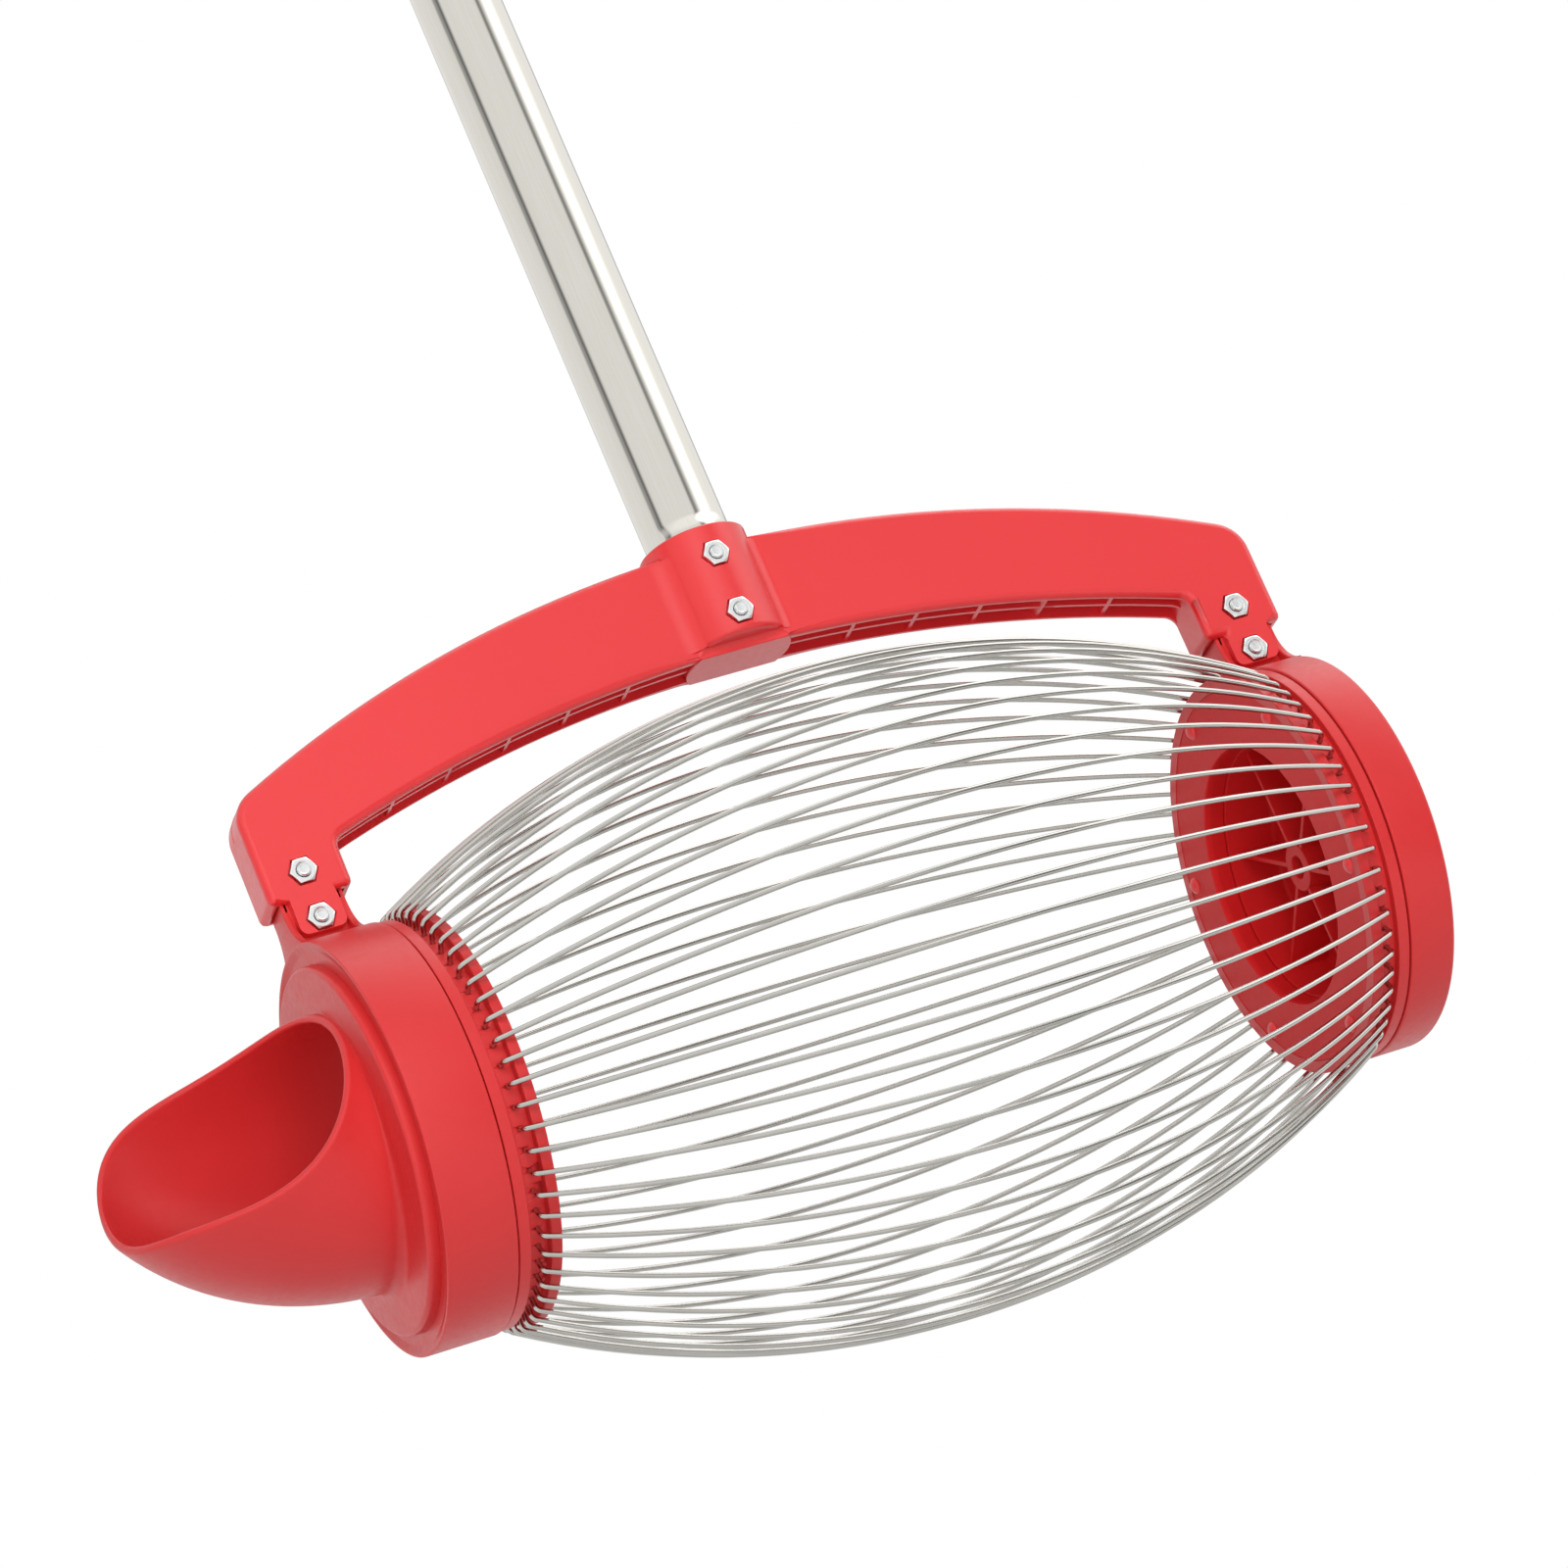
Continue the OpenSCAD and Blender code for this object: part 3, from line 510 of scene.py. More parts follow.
def lip_sweep(theta, shrink):
    """Sweep angle at which the elbow reaches its lip."""
    low, high = 0.0, radians(SWEEP_STEP * SWEEP_STEPS)
    for k in range(1, SWEEP_STEPS + 1):
        a = radians(SWEEP_STEP * k)
        p = section_point(a, theta, shrink)
        if p.y > lip_height(p.x):
            low, high = radians(SWEEP_STEP * (k - 1)), a
            break
    for _ in range(SWEEP_HALVINGS):
        middle = (low + high) / 2
        p = section_point(middle, theta, shrink)
        if p.y > lip_height(p.x):
            high = middle
        else:
            low = middle
    return low


def spout_place(p):
    c, s = cos(SPOUT_TURN), sin(SPOUT_TURN)
    return at_drum(-p[0], p[1] * c - p[2] * s, p[1] * s + p[2] * c)


def disc_points(t):
    """The neck and the disc at the angle t."""
    def on_circle(r, u):
        return Vector((u, -r * cos(t), r * sin(t)))

    points = [on_circle(NECK_END_R, NECK_END), on_circle(NECK_R, LEFT_INSIDE), on_circle(NECK_R, DISC_SEAT)]
    points.append(on_circle(DISC_R, DISC_SEAT))
    for k in range(SPOUT_STEPS):
        a = pi / 2 * k / (SPOUT_STEPS - 1)
        level = DISC_FACE - DISC_ROUND + DISC_ROUND * sin(a)
        points.append(on_circle(DISC_R - DISC_ROUND * (1 - cos(a)), level))
    return points


def fillet_points(t, fillet, base):
    """The hollow fillet from the disc to the elbow's wall, which it meets at base."""
    full = base.x >= DISC_FACE + fillet * FULL_FILLET
    rise = fillet if full else base.x - DISC_FACE
    out = Vector((0.0, -cos(t) * ASPECT, sin(t))).normalized()
    points = []
    for k in range(SPOUT_STEPS):
        a = pi / 2 * (1 - k / SPOUT_STEPS)
        p = base + out * fillet * (1 - cos(a))
        p.x = DISC_FACE + rise * (1 - sin(a))
        points.append(p)
    return points


def lip_points(t, stop, stop_in, bulge):
    """The rounded lip, from the outer wall's end to the inner wall's."""
    outer, inner = section_point(stop, t), section_point(stop_in, t, SPOUT_WALL)
    ahead = (section_point(stop + TINY_SWEEP, t) - outer).normalized()
    ahead += (section_point(stop_in + TINY_SWEEP, t, SPOUT_WALL) - inner).normalized()
    ahead.normalize()
    middle, half = (outer + inner) / 2, (outer - inner) / 2
    turns = [pi * k / SPOUT_STEPS for k in range(1, SPOUT_STEPS)]
    return [middle + half * cos(a) + ahead * bulge * sin(a) for a in turns]


def spout_column(t):
    """The spout's closed section at the angle t: neck, disc, outer wall, lip, inner wall and liner."""
    end, end_in = lip_sweep(t, 0.0), lip_sweep(t, SPOUT_WALL)
    outer_reach = BEND_R + SECTION_R * cos(t)
    along = SPOUT_WALL / 2 / outer_reach
    stop = max(end - along, end * LEAST_RUN)
    stop_in = max(end_in - along, end_in * LEAST_RUN)
    fillet = max(LEAST_FILLET, min(FILLET, FILLET_SHARE * (section_point(stop, t).x - DISC_FACE)))
    start = 0.0
    for _ in range(START_STEPS):
        if section_point(start, t).x < DISC_FACE + fillet:
            start += START_STEP
    start = min(start, stop * LATEST_START)
    column = disc_points(t) + fillet_points(t, fillet, section_point(start, t))
    column += [section_point(start + (stop - start) * k / SPOUT_RUN, t) for k in range(SPOUT_RUN + 1)]
    column += lip_points(t, stop, stop_in, min(SPOUT_WALL / 2, (end - stop) * outer_reach))
    column += [section_point(stop_in * (1 - k / SPOUT_RUN), t, SPOUT_WALL) for k in range(SPOUT_RUN + 1)]
    for level in LINER_LEVELS:
        p = section_point(0.0, t, SPOUT_WALL)
        p.x = level
        column.append(p)
    return column


def add_spout():
    bm = bmesh.new()
    turns = [2 * pi * k / SPOUT_SECTORS for k in range(SPOUT_SECTORS)]
    skin(bm, [[spout_place(p) for p in spout_column(t)] for t in turns])
    piece("spout_moulding", bm, DRUM_RED, "frame", "spout")


add_spout()


# Yoke: the CAD shape with rounded edges, and fillets between the socket and the arch

YOKE_HALF, BOSS_R, BOSS_Z, BOSS_TOP, ARCH_TOP = 11.0, 20.5, 133.0, 182.7, 178.0
LEG_X, LOW_BOLT, HIGH_BOLT = 185.7, 82.2, 100.1
LEG_BOLTS = [(side * LEG_X, z) for side in (LEFT, RIGHT) for z in (LOW_BOLT, HIGH_BOLT)]
SOCKET_BOLTS = [(0.0, 147.0), (0.0, 170.6)]
LEG_HALF, LEDGE_Z, TONGUE_HALF = 15.75, 91.0, 8.65
# Feet of the socket and of its bulges on the arch's faces; the tube's end in the CAD model and here
FOOT_Z, BULGE_Z, TUBE_Z, SEAT_Z = 135.9, 139.0, 137.0, 140.0
ON_BOSS = 0.06  # how close to the socket's radius a point on its round face is
SLACK, FOOT_SLACK = 0.1, 0.5
BORE_LIMIT = BOSS_R - 4.0  # points closer to the handle's axis are in the socket's bore
WIDEST_ROUND, LEG_ROUND, POCKET_ROUND, YOKE_ROWS = 3.0, 2.4, 0.3, 5
SOCKET_ROUNDS = ((FOOT_Z, 0.5), (BULGE_Z, 2.2), (BOSS_TOP, 0.8))
ARCH_ROUND, ARCH_ROUND_GROWTH, ARCH_ROUND_START = 0.6, 0.12, BOSS_R - 3.5
POCKET_R = 5.6  # a nut pocket's edges lie within this of its bolt
POCKET_Y, POCKET_NEAR, POCKET_FAR, POCKET_GROWTH = -7.5, 3.8, 5.3, 1.16
SOCKET_FACE_Y = 1.5 - BOSS_R  # the rims of the socket's pockets lie before this
FILLET_WIDTH = {LEFT: 12.0, RIGHT: 6.0}
FILLET_LOW, FILLET_HIGH, FILLET_ROWS, FILLET_STEPS = BULGE_Z + 0.05, ARCH_TOP - 1.7, 40, 14
FOOT_SHARE, RIM_SHARE, RIM_RUN = 0.85, 0.75, 1.6  # narrowest shares of the width, at a fillet's ends
FILLET_SINK_R, FILLET_SINK_Y = 2.0, 1.5  # its hidden corner in the yoke
PARTING_Y, PARTING_LOW, PARTING_IN = 2.0, LEDGE_Z + 2.5, BOSS_R - 1.0
PARTING_SECTION = ((-0.45, -0.3), (-0.3, 0.12), (0.3, 0.12), (0.45, -0.3))  # as (along Y, out of the yoke)


def near_bolt(p):
    return any(hypot(p.x - x, p.z - z) < POCKET_R for x, z in LEG_BOLTS)


def in_tongue(p):
    return abs(abs(p.x) - LEG_X) < TONGUE_HALF + NEAR and p.z < LEDGE_Z + NEAR


def yoke_round(a, b):
    """Rounding of the yoke's sharp edge from a to b."""
    ends = (a, b)
    for level, width in SOCKET_ROUNDS:
        if all(abs(p.z - level) < NEAR and abs(hypot(p.x, p.y) - BOSS_R) < NEAR_R for p in ends):
            return width
    if all(abs(p.y + YOKE_HALF) < NEAR and near_bolt(p) for p in ends):
        return POCKET_ROUND if min(a.z, b.z) > LEDGE_Z else 0.0
    if all(abs(abs(p.y) - YOKE_HALF) < NEAR for p in ends):
        if a.y * b.y < 0:
            at_foot = abs(a.z - LEDGE_Z) < NEAR and abs(abs(a.x) - LEG_X) > LEG_HALF - SLACK
            return LEG_ROUND if at_foot else 0.0
        if any(near_bolt(p) for p in ends) or all(in_tongue(p) for p in ends):
            return 0.0
        if max(a.z, b.z) < LEDGE_Z + NEAR:
            return LEG_ROUND
        out = min(abs(a.x), abs(b.x)) - ARCH_ROUND_START
        return min(WIDEST_ROUND, ARCH_ROUND + ARCH_ROUND_GROWTH * out)
    return 0.0


def socket_fillet(bm, side, front):
    """A hollow fillet between the arch's face and the socket."""
    rows = []
    low, high = FILLET_LOW, FILLET_HIGH
    for k in range(FILLET_ROWS + 1):
        z = low + (high - low) * k / FILLET_ROWS
        foot = FOOT_SHARE + (1 - FOOT_SHARE) * sqrt(min(1.0, z - low))
        rim = RIM_SHARE + (1 - RIM_SHARE) * sqrt(min(1.0, (high - z) / RIM_RUN))
        r = FILLET_WIDTH[side] * foot * rim
        x = sqrt((BOSS_R + r) ** 2 - (YOKE_HALF + r) ** 2)
        y = YOKE_HALF + r
        to_face = -pi / 2
        to_boss = atan2(-y, -x)
        row = []
        for j in range(FILLET_STEPS + 1):
            a = to_face + (to_boss - to_face) * j / FILLET_STEPS
            row.append((x + r * cos(a), y + r * sin(a)))
        row.append((x * (BOSS_R - FILLET_SINK_R) / (BOSS_R + r), YOKE_HALF - FILLET_SINK_Y))
        rows.append([at_drum(side * px, front * py, z) for px, py in row])
    capped_skin(bm, rows)


def height(v):
    """Height of a vertex over the drum axis."""
    return (v.co.z - DRUM_Z) / MM


def reach(v):
    """Distance of a vertex from the handle's axis."""
    return hypot(v.co.x, v.co.y) / MM


def on_socket(face):
    """Whether a face is on the socket's round wall or its foot."""
    return all(
        abs(reach(v) - BOSS_R) < ON_BOSS or (abs(height(v) - FOOT_Z) < NEAR and reach(v) < BOSS_R)
        for v in face.verts)


def slice_faces(bm, faces, point, normal):
    edges = {e for f in faces for e in f.edges}
    verts = {v for f in faces for v in f.verts}
    bmesh.ops.bisect_plane(
        bm, geom=list(faces) + list(edges) + list(verts), dist=MERGE, plane_co=point, plane_no=normal)


def end_bulge(bm, front):
    """Cuts the socket's bulge on one arch face level, and closes the face under it."""
    def outside(v):
        return front * v.co.y / MM > YOKE_HALF - NEAR

    slice_faces(bm, [f for f in bm.faces if on_socket(f)], (0, front * YOKE_HALF * MM, 0), (0, 1, 0))
    bulge = [f for f in bm.faces if on_socket(f) and all(outside(v) for v in f.verts)]
    slice_faces(bm, bulge, (0, 0, DRUM_Z + BULGE_Z * MM), (0, 0, 1))
    low = [
        f for f in bm.faces
        if on_socket(f) and all(outside(v) and height(v) < BULGE_Z + NEAR for v in f.verts)
    ]
    bmesh.ops.delete(bm, geom=low, context="FACES")
    open_verts = [v for v in bm.verts if v.is_boundary and outside(v) and reach(v) < BOSS_R + SLACK]
    rim = sorted((v for v in open_verts if abs(height(v) - BULGE_Z) < NEAR), key=lambda v: v.co.x)
    bm.faces.new(rim)
    below = [v for v in open_verts if height(v) < BULGE_Z - NEAR]
    left = sorted((v for v in below if v.co.x < 0), key=height)
    right = sorted((v for v in below if v.co.x > 0), key=height, reverse=True)
    bm.faces.new(left + [rim[0], rim[-1]] + right)


def cut_socket_foot(bm):
    """Ends the socket level with the arch, and what bulges out of the arch's faces a little higher."""
    for v in bm.verts:
        if height(v) < BOSS_Z + FOOT_SLACK and reach(v) < BOSS_R + SLACK:
            v.co.z = DRUM_Z + FOOT_Z * MM
        elif abs(height(v) - TUBE_Z) < NEAR and reach(v) < BORE_LIMIT:
            v.co.z = DRUM_Z + SEAT_Z * MM
    for front in (FRONT, REAR):
        end_bulge(bm, front)
    bmesh.ops.recalc_face_normals(bm, faces=bm.faces)


def widen_pockets(bm):
    """Leaves a gap round each nut; the socket's pockets stay on its round face."""
    for v in bm.verts:
        p = over_drum(v.co)
        for x, z in LEG_BOLTS + SOCKET_BOLTS:
            if p.y < POCKET_Y and POCKET_NEAR < hypot(p.x - x, p.z - z) < POCKET_FAR:
                v.co.x = (x + (p.x - x) * POCKET_GROWTH) * MM
                v.co.z = DRUM_Z + (z + (p.z - z) * POCKET_GROWTH) * MM
                if x == 0.0 and p.y < SOCKET_FACE_Y:
                    v.co.y = -sqrt((BOSS_R * MM) ** 2 - v.co.x ** 2)


def smooth_socket(yoke):
    """Applies the bevel, and gives the socket's faces the normals of a true cylinder."""
    level, upright = 0.9999, 0.05
    graph = bpy.context.evaluated_depsgraph_get()
    mesh = bpy.data.meshes.new_from_object(yoke.evaluated_get(graph), depsgraph=graph)
    normals = [corner.vector.copy() for corner in mesh.corner_normals]
    for polygon in mesh.polygons:
        spots = [mesh.vertices[i].co for i in polygon.vertices]
        on_round = all(abs(hypot(p.x, p.y) / MM - BOSS_R) < ON_BOSS for p in spots)
        if on_round and abs(polygon.normal.z) < upright:
            for loop, spot in zip(polygon.loop_indices, spots):
                normals[loop] = Vector((spot.x, spot.y, 0.0)).normalized()
        elif abs(polygon.normal.y) > level or abs(polygon.normal.z) > level:
            for loop in polygon.loop_indices:
                normals[loop] = polygon.normal
    mesh.normals_split_custom_set(normals)
    yoke.modifiers.clear()
    yoke.data = mesh


def add_yoke():
    """The bevel takes each edge's share of the widest rounding."""
    bm = welded_copy("yoke")
    cut_socket_foot(bm)
    share = bm.edges.layers.float.new("bevel_weight_edge")
    for edge in bm.edges:
        if is_sharp(edge):
            edge[share] = yoke_round(*edge_ends(edge)) / WIDEST_ROUND
    widen_pockets(bm)
    yoke = piece("yoke_moulding", bm, RED, "frame", "yoke")
    bevel = yoke.modifiers.new("rounded_edges", "BEVEL")
    bevel.limit_method = "WEIGHT"
    bevel.width = WIDEST_ROUND * MM
    bevel.segments = YOKE_ROWS
    bevel.use_clamp_overlap = False
    bevel.harden_normals = True
    smooth_socket(yoke)


def add_fillets():
    bm = bmesh.new()
    for side in (LEFT, RIGHT):
        for front in (FRONT, REAR):
            socket_fillet(bm, side, front)
    piece("yoke_fillets", bm, RED, "frame")


def outer_outline():
    """The yoke's outer outline, from one foot over the arch to the other, as (x, z)."""
    found = set()
    for v in frame["nodes"]["yoke"].data.vertices:
        x, y, z = v.co.x / MM, v.co.y / MM, height(v)
        if abs(y + YOKE_HALF) < NEAR and z > PARTING_LOW:
            found.add((round(x, 3), round(z, 3)))
    hull = []
    for point in sorted(found):
        while len(hull) > 1:
            (ax, az), (bx, bz) = hull[-2:]
            if (bx - ax) * (point[1] - az) - (bz - az) * (point[0] - ax) < 0:
                break
            hull.pop()
        hull.append(point)
    return hull


def add_parting_line():
    """The mould's fine ridge round the yoke, stopping at the socket."""
    bm = bmesh.new()
    outline = outer_outline()
    for side in (LEFT, RIGHT):
        run = [p for p in outline if side * p[0] > PARTING_IN]
        rows = []
        for i, (x, z) in enumerate(run):
            a, b = run[max(0, i - 1)], run[min(len(run) - 1, i + 1)]
            out = Vector((a[1] - b[1], b[0] - a[0])).normalized()
            rows.append([
                at_drum(x + out.x * up, PARTING_Y + y, z + out.y * up) for y, up in PARTING_SECTION
            ])
        capped_skin(bm, rows)
    piece("yoke_parting_line", bm, RED, "frame")


add_yoke()
add_fillets()
add_parting_line()


# Bearings, cage rings and webs: the dish and a web's collar are turned, the rest are rounded CAD shapes

WEB_OPEN_R, WEB_FACE, WEB_BACK = 48.5, 158.2, 160.7
COLLAR_R, COLLAR_IN_R = WEB_OPEN_R + 1.6, WEB_OPEN_R + 0.02
COLLAR_X, COLLAR_END, COLLAR_ROUND = WEB_BACK - 0.1, 166.1, 0.2
JOURNAL_R, JOURNAL_IN_R, JOURNAL_X, JOURNAL_ROUND = 57.0, 53.5, 161.1, 0.4
STOP_R, STOP_END = 61.2, 164.7  # the journal's collar, held between the ring and the web
DISH_BACK, DISH_FLOOR, DISH_LAND, DISH_R = RIGHT_INSIDE, 185.9, 166.4, 47.4
HUB_R, HUB_HOLE_R, HUB_FACE, HUB_ROUND = 9.0, 4.3, 169.9, 0.3
LAND_ROUND, FLOOR_ROUND, HUB_FOOT_ROUND = 0.25, 2.0, 1.0
RIBS, RIB_HALF, RIB_FACE, RIB_ROUND = 6, 0.9, 170.2, 0.25
RIB_IN_R, RIB_OUT_R, RIB_FOOT = HUB_R - 1.0, DISH_R + 1.5, DISH_FLOOR + 1.0
SLEEVE_ROUND, RING_ROUND, WEB_ROUND = 0.4, 0.45, 0.6
RING_EDGES = ((158.0, 74.6), (162.0, 74.6), (169.0, 73.6), (173.4, 73.6))  # as (place on the axis, radius)


def add_dish():
    """The bearing dish: a deep bowl with a narrow land, ribs and a hub."""
    bm = bmesh.new()
    lathe(bm, rounded([
        (0.0, DISH_BACK, 0), (JOURNAL_R, DISH_BACK, JOURNAL_ROUND), (JOURNAL_R, STOP_END, JOURNAL_ROUND),
        (STOP_R, STOP_END, JOURNAL_ROUND), (STOP_R, JOURNAL_X, JOURNAL_ROUND),
        (JOURNAL_IN_R, JOURNAL_X, JOURNAL_ROUND), (JOURNAL_IN_R, DISH_LAND, 0),
        (DISH_R, DISH_LAND, LAND_ROUND), (DISH_R, DISH_FLOOR, FLOOR_ROUND),
        (HUB_R, DISH_FLOOR, HUB_FOOT_ROUND), (HUB_R, HUB_FACE, HUB_ROUND),
        (HUB_HOLE_R, HUB_FACE, HUB_ROUND), (HUB_HOLE_R, DISH_FLOOR, 0), (0.0, DISH_FLOOR, 0),
    ]), RIGHT)
    rib = [(RIB_OUT_R, RIB_FOOT), (RIB_IN_R, RIB_FOOT), (RIB_IN_R, RIB_FACE), (RIB_OUT_R, RIB_FACE)]
    for k in range(RIBS):
        turn = 2 * pi * k / RIBS

        def place(r, x, t, c=cos(turn), s=sin(turn)):
            return at_drum(x, r * s + t * c, r * c - t * s)

        slab(bm, rib, -RIB_HALF, RIB_HALF, place, RIB_ROUND)
    # The dish's darker red is painted shade for the inside of the drum
    piece("right_bearing_dish_moulding", bm, BEARING_SHADED_RED, "frame", "right_bearing_dish")


def on_ring_edge(a, b):
    """Whether both ends lie on the same one of a ring's outer edges."""
    def listed(p):
        away = hypot(p.y, p.z)
        return any(abs(abs(p.x) - x) < NEAR and abs(away - r) < NEAR_R for x, r in RING_EDGES)

    return listed(a) and listed(b) and abs(a.x - b.x) < NEAR


def on_web_edge(a, b):
    """Whether both ends lie on the rim of a web's opening, on the cage's inside."""
    return all(
        abs(hypot(p.y, p.z) - WEB_OPEN_R) < NEAR_R and abs(abs(p.x) - WEB_FACE) < NEAR_R
        for p in (a, b))


def rounded_copy(node, width, look, body, chosen=None):
    """A CAD shape with its sharp edges rounded, or those for which chosen(a, b) holds of their ends."""
    bm = welded_copy(node)
    edges = [e for e in bm.edges if is_sharp(e) and (chosen is None or chosen(*edge_ends(e)))]
    bmesh.ops.bevel(
        bm, geom=edges, offset=width * MM, offset_type="OFFSET", segments=EDGE_ROWS, profile=0.5,
        affect="EDGES", clamp_overlap=False, loop_slide=True, harden_normals=False,
    )
    # Large flat faces set the normals at the rounded edges
    obj = piece(node + "_moulding", bm, look, body, node)
    weighted = obj.modifiers.new("even_shading", "WEIGHTED_NORMAL")
    weighted.mode = "FACE_AREA"
    weighted.weight = 100
    weighted.keep_sharp = True


def add_collar():
    """The collar behind the right web's opening, set a little into its back."""
    bm = bmesh.new()
    lathe(bm, rounded([
        (COLLAR_IN_R, COLLAR_X, 0), (COLLAR_IN_R, COLLAR_END, COLLAR_ROUND),
        (COLLAR_R, COLLAR_END, COLLAR_ROUND), (COLLAR_R, COLLAR_X, 0),
    ]), RIGHT)
    # The collar's darker red is painted shade for the inside of the drum
    piece("right_web_collar", bm, BEARING_SHADED_RED, "cage")


add_dish()
# The sleeve's darker red is painted shade for the inside of the drum
rounded_copy("left_bearing_sleeve", SLEEVE_ROUND, BEARING_SHADED_RED, "frame")
for side in ("left", "right"):
    rounded_copy(side + "_ring", RING_ROUND, DRUM_RED, "cage", on_ring_edge)
    rounded_copy(side + "_web", WEB_ROUND, WEB_RED, "cage", on_web_edge)
add_collar()


# Fasteners: hexagons with turned chamfers, and bolt ends that show in the nuts

BOLT_R, CREST_R, BOLT_SECTORS, BOLT_END, BOLT_OVERLAP = 2.5, 2.45, 64, 3.9, 0.05
BOLT_TIP = ((0.45, 0.0), (0.8, 0.0), (1.0, 0.12), (BOLT_R, 0.2))  # as (in from BOLT_R, down from the end)
PITCH, THREAD_DEPTH, THREAD_ROWS, THREAD_WAVE, THREAD_STOP = 0.8, 0.18, 32, (0, 0.5, 1, 0.5), 0.5
# The chamfer's start and the top face are shares of half the width across flats
HEX_AF, HEX_SECTORS, HEX_CHAMFER, CHAMFER_START, HEX_TOP, HEX_EASE = 8.8, 96, radians(30), 0.96, 0.955, 0.02
NUT_T, NUT_HOLE_R, NUT_LEAD, NUT_LEAD_H = 3.6, BOLT_R + 0.03, 0.6, 0.5
HEAD_T = 3.5
HEAD_HOLLOW = ((0.80, 0.0), (0.74, 0.12), (0.0, 0.16))  # as (share of half the width, depth)
LEG_SEATS, SOCKET_SEATS = (8.5, 11.0), (18.0, 18.0)  # in front of and behind the handle's axis


def hexagon(bm, place, tall, hole):
    """A nut, or a bolt's head where hole is 0, on its seat; place(a, b, level) gives the point."""
    flat = HEX_AF / 2
    rows = []

    def round_row(radius, level):
        rows.append([place(a, b, level) for a, b in ring(radius, HEX_SECTORS)])

    def hex_row(level, drop):
        row = []
        for k in range(HEX_SECTORS):
            a = 2 * pi * k / HEX_SECTORS
            radius = flat / cos((a % (pi / 3)) - pi / 6)
            fall = drop * (radius - flat * CHAMFER_START) * tan(HEX_CHAMFER)
            row.append(place(radius * cos(a), radius * sin(a), level - fall))
        rows.append(row)

    round_row(hole, 0.0)
    hex_row(0.0, 0.0)
    hex_row(tall - HEX_EASE, 1.0)
    round_row(flat * HEX_TOP, tall)
    if hole:
        round_row(hole + NUT_LEAD, tall)
        round_row(hole, tall - NUT_LEAD_H)
    else:
        for share, depth in HEAD_HOLLOW:
            round_row(flat * share, tall - depth)
    skin(bm, rows, closed=bool(hole))
    merge(bm)


def shank(bm, place, low, high):
    """A bolt's shank, threaded towards its chamfered and slightly hollow end."""
    outline = [(0.0, low), (CREST_R, low)]
    for k in range(THREAD_ROWS - 1, -1, -1):
        outline.append((CREST_R - THREAD_DEPTH * THREAD_WAVE[k % 4], high - THREAD_STOP - k * PITCH / 4))
    outline += [(BOLT_R - inset, high - drop) for inset, drop in BOLT_TIP]
    turned(bm, outline, place, BOLT_SECTORS, closed=False)


def fastener_set(name, places, seats):
    """Bolts from the rear, with their nuts at the front."""
    seat_front, seat_rear = seats
    nuts, bolts = bmesh.new(), bmesh.new()
    for x, z in places:
        def to_front(a, b, level, x=x, z=z):
            return at_drum(x + a, -(seat_front + level), z + b)

        def to_rear(a, b, level, x=x, z=z):
            return at_drum(x + a, seat_rear + level, z + b)

        hexagon(nuts, to_front, NUT_T, NUT_HOLE_R)
        hexagon(bolts, to_rear, HEAD_T, 0.0)
        shank(bolts, to_front, -(seat_front + seat_rear) - BOLT_OVERLAP, BOLT_END)
    piece(name + "_nut_set", nuts, ZINC, "frame", name + "_nuts", sharp=SHARP_HEX)
    piece(name + "_bolt_set", bolts, ZINC, "frame", name + "_bolts", sharp=SHARP_HEX)


fastener_set("leg", LEG_BOLTS, LEG_SEATS)
fastener_set("socket", SOCKET_BOLTS, SOCKET_SEATS)


# Handle: drawn tubes with broken edges, a ribbed grip and a domed plug

TUBE_R, TUBE_IN_R, TUBE_SECTORS = 16.0, 14.8, 128
JOINT_Z, TUBE_TOP = 557.0, 927.0
CHAMFER, CHAMFER_H, CHAMFER_EASE = 0.7, 0.8, 1.5  # at the joint: depth, height and the row beside it
FINE_Z, FINE_STEP, FINE_ROWS = 178.0, 0.25, 90  # close rows of faces over the socket
COARSE_Z, COARSE_STEP, COARSE_ROWS = 210.0, 40.0, 9
INNER_Z = 230.0  # a row of faces inside the tube, over the swell
SWELL, SWELL_LOW, SWELL_PEAK, SWELL_TOP, SWELL_FADE = 1.4, 181.0, 183.0, 190.0, 6.0
SWELL_EDGE = 0.25  # sine of the angle from the tube's side at which the swell starts
GRIP_R, GRIP_Z, GRIP_FIT = 19.5, 802.0, 0.1
GRIP_ROUND, GRIP_TOP_ROUND, GRIP_ROUND_STEPS = 1.4, 1.8, 6
GRIP_COLLAR, GRIP_TOP_BAND = 5.5, 6.0
GROOVES, GROOVE_Z, GROOVE_PITCH, GROOVE_W, GROOVE_STEPS = 17, 13.0, 6.0, 2.8, 8
RIB_SINK, GROOVE_DEPTH = 0.35, 0.85
PLUG_R, PLUG_L, PLUG_LEAD, PLUG_SECTORS = 14.7, 18.0, 0.7, 96
PLUG_HEAD_R, PLUG_RIM, DOME_Z, DOME_H, DOME_STEPS, DOME_POWER = GRIP_R - 2.0, 0.5, 1.2, 3.8, 14, 0.75


def swell(z):
    """Share of the swell at a height: a quick rise out of the socket, then a smooth fade."""
    if z <= SWELL_PEAK:
        return max(0.0, (z - SWELL_LOW) / (SWELL_PEAK - SWELL_LOW))
    rise = min(1.0, max(0.0, (SWELL_TOP - z) / SWELL_FADE))
    return rise * rise * (3 - 2 * rise)


